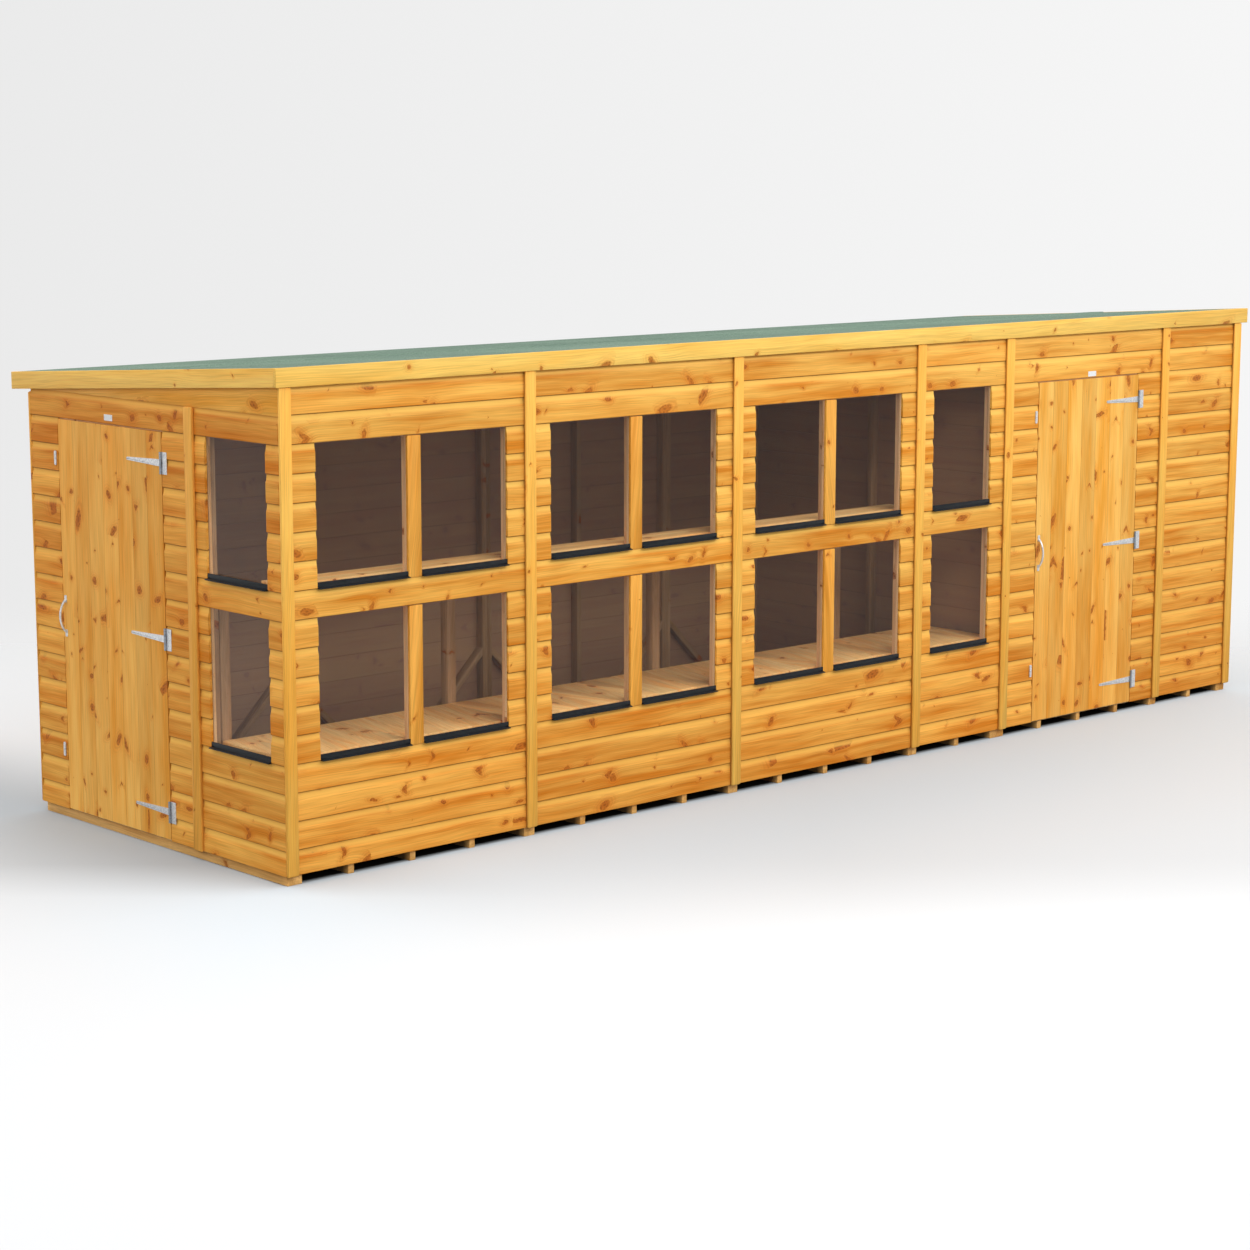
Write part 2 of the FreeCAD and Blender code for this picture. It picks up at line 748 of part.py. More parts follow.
felt = new_body("roof_felt")
felt_width = "(wall_length + roof_right)"
felt_back = "(wall_depth + roof_back + felt_thick)"
ramp = "(felt_join - felt_ramp)"
lap_end = "(felt_join + felt_lap)"
lifted = "(felt_thick + felt_gap)"
slab(felt, "0", felt_width, "felt_join", roof_end, "(-felt_thick)", "0")
drip = f"({roof_end} + felt_gap)"
slab(felt, "0", felt_width, drip, felt_back, "(-felt_thick)", "felt_turn")
corners = [("0", roof_at(0)), (ramp, roof_at(ramp)),
           (ramp, f"{roof_at(ramp)} + {lifted}"), (lap_end, f"{roof_at(lap_end)} + {lifted}"),
           (lap_end, f"{roof_at(lap_end)} + {lifted} + felt_thick"),
           (ramp, f"{roof_at(ramp)} + {lifted} + felt_thick"),
           (f"({ramp} - felt_ramp)", f"{roof_at(ramp)} + felt_thick"),
           ("0", f"{roof_at(0)} + felt_thick")]
pad(felt, draw(felt, "YZ_Plane", corners), felt_width)
finish("roof_felt", stand(felt))

# Fascia boards stand just proud of the felt on the front and both ends.
fascia_width = "(wall_length + roof_right + 2*end_fascia_thick)"
fascia = timber(("-end_fascia_thick", "-fascia_thick", strip_top),
                (fascia_width, "fascia_thick", "fascia_height"))
finish("front_fascia", stand(gather([fascia])))
end_fascias = new_body("end_fascias")
proud = "(fascia_top - roof_front)"
for start in ("-end_fascia_thick", "(wall_length + roof_right)"):
    slab(end_fascias, start, "end_fascia_thick", "0", roof_end, f"(-{proud})", f"(fascia_height - {proud})")
finish("end_fascias", stand(end_fascias))

# Doors: seven bevelled upright boards on three ledges and two braces.
BOARD_PITCH = "(door_width/door_boards)"
AXIS = "(door_width + door_gap/2)"
BACK_FACE = "(cladding_thick - door_seat)"


def door_leaf(label):
    body = new_body(label)
    side = "door_board_gap/2"
    far = f"({BOARD_PITCH} - {side})"
    corners = [(side, "door_board_bevel"), (f"{side} + door_board_bevel", "0"),
               (f"{far} - door_board_bevel", "0"), (far, "door_board_bevel"),
               (far, BACK_FACE), (side, BACK_FACE)]
    board = pad(body, draw(body, "XY_Plane", corners, "door_bottom"), "door_top - door_bottom")
    repeat(body, [board], "X_Axis", f"door_width - {BOARD_PITCH}", "door_boards")
    return body


def door_ledges(label):
    body = new_body(label)
    near = "ledge_inset"
    far = "(door_width - ledge_inset)"
    low = "(hinge_low - ledge_height/2)"
    high = "(hinge_low + ledge_height/2)"
    lift = f"-{BACK_FACE}"
    ledge = pad(body, draw(body, "XZ_Plane", rectangle(near, low, far, high), lift),
                "ledge_thick", inward=True)
    repeat(body, [ledge], "Z_Axis", "2*hinge_spacing", 3)
    foot = f"({high} + brace_gap)"
    head = f"({low} + hinge_spacing - brace_gap)"
    corners = [(f"{far} - brace_width", foot), (far, foot), (f"{near} + brace_width", head), (near, head)]
    brace = pad(body, draw(body, "XZ_Plane", corners, lift), "ledge_thick", inward=True)
    repeat(body, [brace], "Z_Axis", "hinge_spacing", 2)
    return body


# Strap hinges: a tapered strap on the door, a plate on the wall, one pin through both.
HINGE_HEIGHTS = [f"(hinge_low + {level}*hinge_spacing)" for level in range(3)]
PLATE_HALF = "plate_height/2"


def on_axis(body, kind, low, radius, length):
    """A round feature about the hinge line."""
    return round_bar(body, kind, "XY_Plane", (AXIS, "-pin_proud", low), radius, length)


def octagon(across, up, radius):
    """Corners of an eight-sided outline about a centre."""
    angles = [math.radians(45*side + 22.5) for side in range(8)]
    return [(f"{across} + {math.cos(angle):.4f}*{radius}", f"{up} + {math.sin(angle):.4f}*{radius}")
            for angle in angles]


def knuckle(body, low, length):
    corners = octagon(AXIS, "-pin_proud", "knuckle_radius")
    return pad(body, draw(body, "XY_Plane", corners, low), length)


def bore(body, height):
    on_axis(body, "Subtractive", f"{height} - {PLATE_HALF}", "pin_radius + pin_clear", "plate_height")


def hinge_straps(label):
    body = new_body(label)
    tip = f"({AXIS} - strap_length)"
    for height in HINGE_HEIGHTS:
        root = "(strap_root/2 - seat_gap)"
        corners = [(AXIS, f"{height} - {root}"), (AXIS, f"{height} + {root}"),
                   (f"{tip} + tip_round", f"{height} + strap_tip/2"),
                   (tip, f"{height} + tip_nose/2"), (tip, f"{height} - tip_nose/2"),
                   (f"{tip} + tip_round", f"{height} - strap_tip/2")]
        pad(body, draw(body, "XZ_Plane", corners), "leaf_thick")
        knuckle(body, f"{height} - strap_root/2", "strap_root")
        bore(body, height)
    return body


def hinge_plates(label):
    body = new_body(label)
    far = f"({AXIS} + plate_width)"
    relief = f"({AXIS} + plate_relief)"
    roll = "(plate_height - plate_slot)/2"
    for height in HINGE_HEIGHTS:
        low = f"({height} - {PLATE_HALF})"
        high = f"({height} + {PLATE_HALF})"
        slot_low = f"({height} - plate_slot/2)"
        slot_high = f"({height} + plate_slot/2)"
        corners = [(AXIS, low), (far, low), (far, high), (AXIS, high),
                   (AXIS, slot_high), (relief, slot_high), (relief, slot_low), (AXIS, slot_low)]
        pad(body, draw(body, "XZ_Plane", corners), "leaf_thick")
        knuckle(body, low, roll)
        knuckle(body, slot_high, roll)
    hole = octagon(AXIS, "-pin_proud", f"(pin_radius + pin_clear)/{FLAT_SHARE}")
    cut_through(body, draw(body, "XY_Plane", hole, f"{HINGE_HEIGHTS[-1]} + plate_height"))
    return body


def hinge_pins(label):
    body = new_body(label)
    for height in HINGE_HEIGHTS:
        on_axis(body, "Additive", f"{height} - {PLATE_HALF}", "pin_radius", "plate_height")
    return body


# Bow handle: a bent bar on two foot plates, drawn about the centre of its bend.
BOW_RADIUS = "((handle_length*handle_length/4 + handle_reach*handle_reach)/(2*handle_reach))"
BOW_FACE = f"({BOW_RADIUS} - handle_reach)"


def bow_handle(label, wall, start):
    body = new_body(label)
    angles = [math.radians(turn) for turn in range(-48, 49, 16)]
    corners = []
    for size, turns in (("+", angles), ("-", angles[::-1])):
        radius = f"({BOW_RADIUS} {size} handle_wire)"
        corners += [(f"-{math.cos(turn):.4f}*{radius}", f"{math.sin(turn):.4f}*{radius}") for turn in turns]
    pad(body, draw(body, "YZ_Plane", corners, "-handle_wire"), "2*handle_wire")
    for middle in ("-handle_length/2", "handle_length/2"):
        corners = rectangle("-foot_width/2", f"{middle} - foot_height/2",
                            "foot_width/2", f"{middle} + foot_height/2")
        pad(body, draw(body, "XZ_Plane", corners, BOW_FACE), "foot_thick")
    behind = draw(body, "XZ_Plane", rectangle("-foot_width", "-handle_length", "foot_width",
                                              "handle_length"), BOW_FACE)
    cut_through(body, behind)
    return stand(body, wall, f"{start} + handle_inset", "handle_middle", BOW_FACE)


# Turn buttons: a round-ended bar that pivots on a screw through a thin collar.
def turn_button(label, wall, start, height):
    body = new_body(label)
    side = "button_width/2"
    end = "button_length/2"
    shoulder = "(button_length/2 - button_width/3)"
    nose = "button_width/5"
    corners = [(nose, f"-{end}"), (side, f"-{shoulder}"), (side, shoulder), (nose, end),
               (f"-{nose}", end), (f"-{side}", shoulder), (f"-{side}", f"-{shoulder}"),
               (f"-{nose}", f"-{end}")]
    pad(body, draw(body, "XZ_Plane", corners, "button_stand_off"), "button_thick")
    round_bar(body, "Subtractive", "XZ_Plane", ("0", "0", "0"), "button_bore", "2*button_thick")
    return stand(body, wall, f"{start} - button_offset", height)


def button_screw(wall, start, height):
    body = new_body("screw")
    head = "(button_stand_off + button_thick + screw_head_gap)"
    rim = octagon("0", "0", "screw_head_radius")
    pad(body, draw(body, "XZ_Plane", octagon("0", "0", "screw_radius")), head)
    pad(body, draw(body, "XZ_Plane", rim), "button_stand_off - screw_head_gap")
    pad(body, draw(body, "XZ_Plane", rim, head), "screw_head")
    return stand(body, wall, f"{start} - button_offset", height)


plates = []
pins = []
screws = []
for side, start in (("left", "end_door_start"), ("front", FRONT_DOOR)):
    finish(f"{side}_door_boards", stand(door_leaf(f"{side}_door_boards"), side, start))
    finish(f"{side}_door_ledges", stand(door_ledges(f"{side}_door_ledges"), side, start))
    finish(f"{side}_hinge_straps", stand(hinge_straps(f"{side}_hinge_straps"), side, start))
    finish(f"{side}_handle", bow_handle(f"{side}_handle", side, start))
    plates.append(stand(hinge_plates(f"{side}_hinge_plates"), side, start))
    pins.append(stand(hinge_pins(f"{side}_hinge_pins"), side, start))
    for level, height in (("upper", "button_high"), ("lower", "button_low")):
        label = f"{side}_{level}_turn_button"
        finish(label, turn_button(label, side, start, height))
        screws.append(button_screw(side, start, height))
finish("hinge_plates", gather(plates))
finish("hinge_pins", gather(pins))
finish("turn_button_screws", gather(screws))

doc.recompute()
for item in doc.Objects:
    if "Invalid" in item.State or "Error" in item.State:
        raise RuntimeError(f"{item.Name} {item.Label} did not build: {item.State}")

os.makedirs("parts", exist_ok=True)
for node in nodes:
    if node.Shape.isNull() or not node.Shape.isValid():
        raise RuntimeError(f"{node.Label} has no sound shape")
    node.Shape.exportStep(f"parts/{node.Label}.step")
    print(f"{node.Label}: {len(node.Shape.Solids)} solids")
print(f"{len(nodes)} sub-parts")
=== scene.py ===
# %% [markdown]
# # A potting shed, dressed over its CAD frame
# The frame brings every board, stud and hinge as a plain solid in the right place.
# This lesson gives those solids the looks of the photo: lapped softwood boards with knots,
# bright trim, dark panes, zinc hinges, felt, a pale floor and soft studio light.
# Most cells print what they made, so the steps can be followed one at a time.

# %% Load the frame
import math
import random

import bmesh
import bpy
from mathutils import Matrix, Vector


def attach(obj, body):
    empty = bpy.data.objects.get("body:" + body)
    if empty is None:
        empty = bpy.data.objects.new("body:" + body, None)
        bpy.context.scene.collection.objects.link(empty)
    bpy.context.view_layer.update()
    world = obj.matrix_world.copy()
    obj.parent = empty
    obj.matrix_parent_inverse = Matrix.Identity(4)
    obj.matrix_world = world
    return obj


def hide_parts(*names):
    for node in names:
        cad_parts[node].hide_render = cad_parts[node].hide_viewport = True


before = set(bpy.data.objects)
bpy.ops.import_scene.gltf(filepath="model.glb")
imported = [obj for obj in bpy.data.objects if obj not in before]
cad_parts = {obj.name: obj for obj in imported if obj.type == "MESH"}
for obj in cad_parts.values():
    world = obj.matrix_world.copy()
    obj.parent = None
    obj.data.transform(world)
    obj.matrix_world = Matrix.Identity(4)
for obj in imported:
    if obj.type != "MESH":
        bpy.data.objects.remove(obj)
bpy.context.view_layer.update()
scene = bpy.context.scene

# %% [markdown]
# ## Setting out
# The shed has five flat walls of boards. Every board could be drawn in place, but then each
# wall would need its own sums. So a wall is drawn flat first: u runs right as seen from
# outside, v runs inward, z up. A matrix then stands the drawing on its wall, and one set of
# helpers serves them all. Lengths are in metres and repeat the driving sizes of the CAD sheet.

# %% Sizes and wall matrices
LENGTH = 6.0
DEPTH = 1.762
ORIGIN = Vector((2.981, 0.881, 0.0))
CLAD = 0.012
COURSE = 0.1108
LOW_SEAM = 0.1356
CLAD_BOTTOM = 0.040
LAP = 0.008
GAP = 0.0004
LIP_GAP = 0.003
SCOOP = 0.032
SCOOP_DEEP = 0.006
PANEL = 1.170
NARROW = 0.600
END_WALL = 0.056
STORE = END_WALL + 3*PANEL + NARROW + 0.044
STORE_SPLIT = STORE - 0.022
LAST_JOINT = STORE + PANEL
PANE = 0.437
MULLION = 0.065
END_JOINT = 0.580
DOOR_WIDTH = 0.762
DOOR_LOW = 0.045
DOOR_HIGH = 1.684
FRONT_DOOR = STORE + (PANEL - DOOR_WIDTH)/2
LEFT_DOOR = 0.215
DOOR_GAP = 0.003
DOOR_BOARDS = 7
PITCH = DOOR_WIDTH/DOOR_BOARDS
DOOR_THICK = 0.0115


def wall_matrix(turn, x, y):
    """Matrix that stands a drawing on a wall whose left end is at x, y."""
    place = Matrix.Translation(Vector((x, y, 0)) - ORIGIN)
    return place @ Matrix.Rotation(math.radians(turn), 4, "Z")


WALLS = {
    "front": wall_matrix(0, 0, 0),
    "left": wall_matrix(-90, 0, DEPTH),
    "right": wall_matrix(90, LENGTH, 0),
    "back": wall_matrix(180, LENGTH, DEPTH),
    "partition": wall_matrix(90, STORE + CLAD, 0),
}


print("walls set out:", ", ".join(WALLS))

# %% [markdown]
# ## Node helpers
# All the finishes are shader nodes. They could be wired by hand in the editor, but a script
# can be run again. Such trees stay readable when a node is made, set and wired in one short
# call. `feed` takes either a plain value or another node's output, whichever it is given.

# %% Wiring helpers
def feed(tree, value, socket):
    if isinstance(value, bpy.types.NodeSocket):
        tree.links.new(value, socket)
    else:
        socket.default_value = value


def add(tree, kind, inputs, **settings):
    node = tree.nodes.new(kind)
    for name, value in settings.items():
        setattr(node, name, value)
    for name, value in inputs.items():
        feed(tree, value, node.inputs[name])
    return node


print("nodes can be made and wired")

# %% Number helpers
def calc(tree, operation, first, second=0.0):
    return add(tree, "ShaderNodeMath", {0: first, 1: second}, operation=operation).outputs[0]


def product(tree, first, second):
    return calc(tree, "MULTIPLY", first, second)


def total(tree, first, second):
    return calc(tree, "ADD", first, second)


def less(tree, first, second):
    return calc(tree, "SUBTRACT", first, second)


def most(tree, first, second):
    return calc(tree, "MAXIMUM", first, second)


def vector(tree, x, y, z):
    return add(tree, "ShaderNodeCombineXYZ", {"X": x, "Y": y, "Z": z}).outputs[0]


def mix_vectors(tree, operation, first, second):
    return add(tree, "ShaderNodeVectorMath", {0: first, 1: second}, operation=operation).outputs[0]


def times(tree, first, factor):
    return add(tree, "ShaderNodeVectorMath", {0: first, "Scale": factor}, operation="SCALE").outputs[0]


def fit(tree, value, low, high, to_low, to_high, smooth=False):
    """Map one range of numbers onto another, held at both ends."""
    kind = "SMOOTHSTEP" if smooth else "LINEAR"
    sockets = {"Value": value, "From Min": low, "From Max": high, "To Min": to_low, "To Max": to_high}
    return add(tree, "ShaderNodeMapRange", sockets, interpolation_type=kind).outputs[0]


def blend(tree, factor, first, second, mode="MIX"):
    node = tree.nodes.new("ShaderNodeMix")
    node.data_type = "RGBA"
    node.blend_type = mode
    for index, value in ((0, factor), (6, first), (7, second)):
        feed(tree, value, node.inputs[index])
    return node.outputs[2]


print("numbers can be worked out")

# %% Texture helpers
def noise(tree, place, scale, detail=2.0):
    sockets = {"Vector": place, "Scale": scale, "Detail": detail}
    return add(tree, "ShaderNodeTexNoise", sockets).outputs[0]


def voronoi(tree, place, scale, **settings):
    return add(tree, "ShaderNodeTexVoronoi", {"Vector": place, "Scale": scale}, **settings).outputs


def parts_of(tree, place):
    """The x, y and z of a place."""
    return add(tree, "ShaderNodeSeparateXYZ", {0: place}).outputs


def picks_of(tree, colour):
    """Three random numbers from the colour of a Voronoi cell."""
    return add(tree, "ShaderNodeSeparateColor", {0: colour}).outputs


def attribute(tree, name, kind="Fac"):
    return add(tree, "ShaderNodeAttribute", {}, attribute_name=name).outputs[kind]


print("textures can be placed")

# %% Surface helpers
def ramp(tree, value, stops):
    node = add(tree, "ShaderNodeValToRGB", {0: value})
    for index, (place, colour) in enumerate(stops):
        if index > 1:
            node.color_ramp.elements.new(place)
        node.color_ramp.elements[index].position = place
        node.color_ramp.elements[index].color = (*colour, 1.0)
    return node.outputs[0]


def material(name):
    made = bpy.data.materials.new(name)
    made.use_nodes = True
    return made, made.node_tree, made.node_tree.nodes["Principled BSDF"]


def object_place(tree):
    return add(tree, "ShaderNodeTexCoord", {}).outputs["Object"]


def mix_shaders(tree, factor, first, second):
    return add(tree, "ShaderNodeMixShader", {0: factor, 1: first, 2: second}).outputs[0]


def coat(tree, surface, colour, rough, gloss=0.5):
    """Give a surface its colour, its roughness and its share of gloss."""
    for name, value in (("Base Color", colour), ("Roughness", rough), ("Specular IOR Level", gloss)):
        feed(tree, value, surface.inputs[name])


def bump(tree, surface, height, strength, distance):
    node = add(tree, "ShaderNodeBump", {"Height": height, "Strength": strength, "Distance": distance})
    tree.links.new(node.outputs[0], surface.inputs["Normal"])


print("surfaces can be coated")

# %% [markdown]
# ## Softwood
# The boards are planed softwood under a honey stain, streaked along the grain and full of
# knots. A picture of timber would repeat from board to board, so the shader draws the wood.
# Every timber carries two attributes. `grain` is a place in its own board: along it, into
# it and across its face, shifted by a random length so that no two boards match. `tone` is
# one random number for the whole board. From these the shader draws long streaks, fine
# lines and knots. A knot is a Voronoi cell's centre, turned and stretched by the cell's own
# random colour, so some are round and some are long slashes. A quarter of them are folded
# about their middle, which draws two slashes that meet in a V, as some do in the photo.

# %% Knots
KNOT_CELL = 0.125
KNOT_TEAR = (0.022, 0.018, 0.0)
PAIRED_ABOVE = (0.76, 0.77)
SINGLE_WIDEST = 0.105
PAIRED_WIDEST = 0.080


def knots(tree, along, across, amount):
    """Distance from the nearest knot, in that knot's own radius, and its broken dark rim."""
    flat = vector(tree, along, across, 0.0)
    ragged = add(tree, "ShaderNodeTexNoise", {"Vector": flat, "Scale": 42.0, "Detail": 4.0}).outputs["Color"]
    torn = mix_vectors(tree, "MULTIPLY_ADD", ragged, KNOT_TEAR)
    feed(tree, flat, torn.node.inputs[2])
    spread_out = times(tree, torn, 1/KNOT_CELL)
    centre = voronoi(tree, spread_out, 1.0, voronoi_dimensions="2D")
    away = parts_of(tree, mix_vectors(tree, "SUBTRACT", spread_out, centre["Position"]))
    chance = picks_of(tree, centre["Color"])
    paired = fit(tree, chance[0], *PAIRED_ABOVE, 0.0, 1.0)
    folded = product(tree, calc(tree, "ABSOLUTE", away[1]), paired)
    single = product(tree, away[1], less(tree, 1.0, paired))
    forward = product(tree, away[0], fit(tree, chance[1], 0.49, 0.51, -1.0, 1.0))
    local = vector(tree, forward, total(tree, folded, single), 0.0)
    turn = fit(tree, chance[0], 0.0, 1.0, -1.4, 1.0)
    turned = add(tree, "ShaderNodeVectorRotate", {"Vector": local, "Angle": turn}, rotation_type="Z_AXIS")
    ways = parts_of(tree, turned.outputs[0])
    stretch = total(tree, fit(tree, chance[1], 0.35, 1.0, 1.1, 3.4), product(tree, paired, 1.2))
    long_way = calc(tree, "DIVIDE", ways[0], stretch)
    squares = total(tree, product(tree, long_way, long_way), product(tree, ways[1], ways[1]))
    size = calc(tree, "POWER", fit(tree, chance[2], 1.0 - amount, 1.0, 0.0, 1.0), 1.5)
    widest = fit(tree, paired, 0.0, 1.0, SINGLE_WIDEST, PAIRED_WIDEST)
    knot = calc(tree, "DIVIDE", calc(tree, "SQRT", squares), fit(tree, size, 0.0, 1.0, 0.001, widest))
    broken = fit(tree, noise(tree, flat, 85.0), 0.42, 0.60, 0.0, 0.75)
    off_rim = calc(tree, "ABSOLUTE", less(tree, knot, 0.95))
    return knot, product(tree, fit(tree, off_rim, 0.0, 0.45, 1.0, 0.0), broken)


print("knots can be scattered in cells of", KNOT_CELL, "m")

# %% The wood shader
KNOT_HEART = (0.47, 0.125, 0.012, 1.0)
KNOT_RIM = (0.19, 0.040, 0.006, 1.0)
SLOW_DRIFT = (1.6, 1.0, 1.0)
FINE_LINES = (5.0, 240.0, 200.0)
TONE_PATCHES = (2.2, 9.0, 1.0)
WOOD_GLOSS = 0.14
GRAIN_BUMP = 0.18
GRAIN_DEEP = 0.0012


def stretched(tree, along, across, into, long_scale, wide_scale, deep_scale):
    """A place in the board with its three ways scaled apart, for streaks."""
    ways = ((along, long_scale), (across, wide_scale), (into, deep_scale))
    return vector(tree, *[product(tree, part, scale) for part, scale in ways])


def wood(name, light, deep, knot_amount, spread, rough=0.5, marks_and_painted_light=None, bands=28.0):
    """Softwood between a light and a deep colour, with knots, and any stain, painted light and painted shade
    of its kind.
    """
    made, tree, surface = material(name)
    along, into, across = parts_of(tree, attribute(tree, "grain", "Vector"))
    tone = attribute(tree, "tone")
    knot, rim = knots(tree, along, across, knot_amount)
    halo = calc(tree, "POWER", fit(tree, knot, 0.8, 4.6, 1.0, 0.0), 1.7)
    core = fit(tree, knot, 0.6, 1.7, 1.0, 0.0, smooth=True)
    arcs = product(tree, calc(tree, "SINE", product(tree, knot, 7.0)), halo)
    drift = noise(tree, stretched(tree, along, across, into, *SLOW_DRIFT), 1.0)
    ring = total(tree, total(tree, across, product(tree, drift, 0.05)), product(tree, halo, 0.014))
    broad = noise(tree, stretched(tree, along, ring, into, 1.3, bands, 30.0), 1.0, 3.0)
    fine = noise(tree, stretched(tree, along, ring, into, *FINE_LINES), 1.0)
    patch = noise(tree, stretched(tree, along, across, tone, *TONE_PATCHES), 1.0)
    own = fit(tree, calc(tree, "FRACT", product(tree, tone, 7.31)), 0.0, 1.0, -spread/2, spread/2)
    mixed = total(tree, total(tree, product(tree, broad, 0.6), own), product(tree, patch, 0.4))
    middle = tuple(0.55*a + 0.45*b for a, b in zip(light, deep))
    colour = ramp(tree, mixed, [(0.37, light), (0.5, middle), (0.63, deep)])
    shade = product(tree, fit(tree, fine, 0.3, 0.75, 1.10, 0.80),
                    fit(tree, tone, 0.0, 1.0, 1.0 - spread, 1.0 + spread))
    shade = product(tree, shade, fit(tree, arcs, -1.0, 1.0, 1.16, 0.84))
    colour = blend(tree, 1.0, colour, vector(tree, shade, shade, shade), "MULTIPLY")
    warm = (deep[0]*0.90, deep[1]*0.66, deep[2]*0.5, 1.0)
    colour = blend(tree, product(tree, halo, 0.6), colour, warm)
    colour = blend(tree, product(tree, core, 0.72), colour, KNOT_HEART)
    heart = fit(tree, knot, 0.1, 0.5, 0.6, 0.0, smooth=True)
    colour = blend(tree, most(tree, rim, heart), colour, KNOT_RIM)
    # Stain, painted highlight and painted shade, for the kinds of wood that have them.
    if marks_and_painted_light:
        colour = marks_and_painted_light(tree, into, colour)
    coat(tree, surface, colour, fit(tree, fine, 0.2, 0.8, rough - 0.06, rough + 0.1), WOOD_GLOSS)
    bump(tree, surface, less(tree, fine, core), GRAIN_BUMP, GRAIN_DEEP)
    return made


print("wood can be mixed")

# %% [markdown]
# ## Stain, painted light and painted shade on the edges
# The boards are not even in colour. A painted highlight pales the scoop, and painted shade
# darkens each board toward its lower edge, along its lip and under the next board's lip. The
# walls carry painted shade as well, darker and warmer low on the front and high on the left
# end, and where the side of a cover strip meets the wall. The backs of the boards are bare and
# painted shade darkens them, so the room inside is a duller brown. The dark joints of the door
# boards are stain. All this could be painted on, board by board. Here the attribute `rise`,
# the place across a board from its lower or left edge, and the place on the shed steer a few
# blends, so the marks follow every board without a painted texture.

# %% Places on the shed
WALL_MIDDLE = LENGTH/2 - ORIGIN.x
UNDER_WIDE = (LENGTH/2 - 0.06, LENGTH/2 - 0.02)
UNDER_DEEP = (DEPTH/2 - 0.05, DEPTH/2 - 0.01)


def under_shed(tree, place):
    """1 beneath the joists, where hardly any light reaches; it masks painted shade."""
    wide, deep = [calc(tree, "ABSOLUTE", part) for part in parts_of(tree, place)[:2]]
    return product(tree, fit(tree, wide, *UNDER_WIDE, 1.0, 0.0), fit(tree, deep, *UNDER_DEEP, 1.0, 0.0))


def off_shed(tree, place):
    """Distance out from the outer walls of the shed."""
    parts = parts_of(tree, place)
    from_middle = less(tree, parts[0], WALL_MIDDLE)
    wide = less(tree, calc(tree, "ABSOLUTE", from_middle), LENGTH/2)
    deep = less(tree, calc(tree, "ABSOLUTE", parts[1]), DEPTH/2)
    return most(tree, most(tree, wide, deep), 0.0)


def beside_shed(tree, place):
    """Distance out to the left from the left end of the shed."""
    return less(tree, -ORIGIN.x, parts_of(tree, place)[0])


print("places on the shed can be measured")

# %% Painted shade by height and wall
# Dark brown for the stain at door joints and for painted shade along laps and strips.
STAIN_AND_SHADE_COLOUR = (0.24, 0.065, 0.005, 1.0)
SHADE_COLOUR = (0.02, 0.018, 0.015, 1.0)
# Tint of the painted shade by height and wall.
FALLOFF_SHADE = (0.96, 0.84, 0.74, 1.0)
LEFT_FACE = (-0.016, -0.010)
BACK_START = 0.0008
BACK_FULL = 0.0002
# Two heights, and how strong the painted shade is at each of them.
FRONT_FALLOFF = (0.3, 1.2, 0.8, 0.0)
END_FALLOFF = (0.2, 1.6, 0.4, 1.0)


def both_sides(tree, into, thick, outside, back):
    """Keep the outside colour on the face and edges, and the other colour on the back."""
    return blend(tree, fit(tree, into, thick - BACK_START, thick - BACK_FULL, 0.0, 1.0), outside, back)


def painted_falloff(tree, colour):
    """Painted shade, darker and warmer low on the front and high on the left end."""
    place = object_place(tree)
    height = parts_of(tree, place)[2]
    left = fit(tree, beside_shed(tree, place), *LEFT_FACE, 0.0, 1.0)
    depth = fit(tree, left, 0.0, 1.0, fit(tree, height, *FRONT_FALLOFF), fit(tree, height, *END_FALLOFF))
    return blend(tree, depth, colour, FALLOFF_SHADE, "MULTIPLY")


print("stain can be deepened")

# %% Painted shade on strips and joists
# Painted shade where cover strips meet the wall, and on the joists under the floor.
STRIP_SHADE = 0.7
STRIP_FOOT = (0.004, 0.011)
STRIP_CORNER = (-0.006, -0.002)
JOIST_SHADE = 0.85


def strip_painted_shade(tree, into, colour):
    """Painted shade where the side of a strip meets the front boards."""
    place = object_place(tree)
    front = fit(tree, beside_shed(tree, place), *STRIP_CORNER, STRIP_SHADE, 0.0)
    painted_shade = product(tree, front, fit(tree, off_shed(tree, place), *STRIP_FOOT, 1.0, 0.0))
    return blend(tree, painted_shade, colour, STAIN_AND_SHADE_COLOUR)


def joist_painted_shade(tree, into, colour):
    """Painted shade where a joist runs back under the floor."""
    hidden = product(tree, under_shed(tree, object_place(tree)), JOIST_SHADE)
    return blend(tree, hidden, colour, SHADE_COLOUR)


print("strips and joists can be marked")

# %% Painted light and shade on wall boards, stain and painted shade on door boards
# Painted highlight and painted shade for the wall boards, stain for the door joints.
COVE_HIGHLIGHT_SHARE = 0.72
COVE_BAND = 0.028
COVE_HIGHLIGHT = (1.0, 0.60, 0.125, 1.0)
LOW_SHADE_COLOUR = (0.78, 0.27, 0.020, 1.0)
BARE_AND_SHADE_COLOUR = (0.295, 0.176, 0.122, 1.0)
BARE_AND_SHADE_SHARE = 0.85
DOOR_BACK = (0.66, 0.40, 0.19, 1.0)
DOOR_BACK_SHARE = 0.75
LOW_SHADE_SHARE = 0.22
LOW_REACH = COURSE*0.65
LAP_SHADE = 0.85
LIP_LINE = 0.003
UNDER_LINE = 0.001
BACK_LINE = 0.004
BACK_LINE_SHADE = 0.5
JOINT_STAIN = 0.35
JOINT_LEFT = (0.0, 0.0018)
JOINT_RIGHT = (PITCH - 0.0024, PITCH - 0.0006)


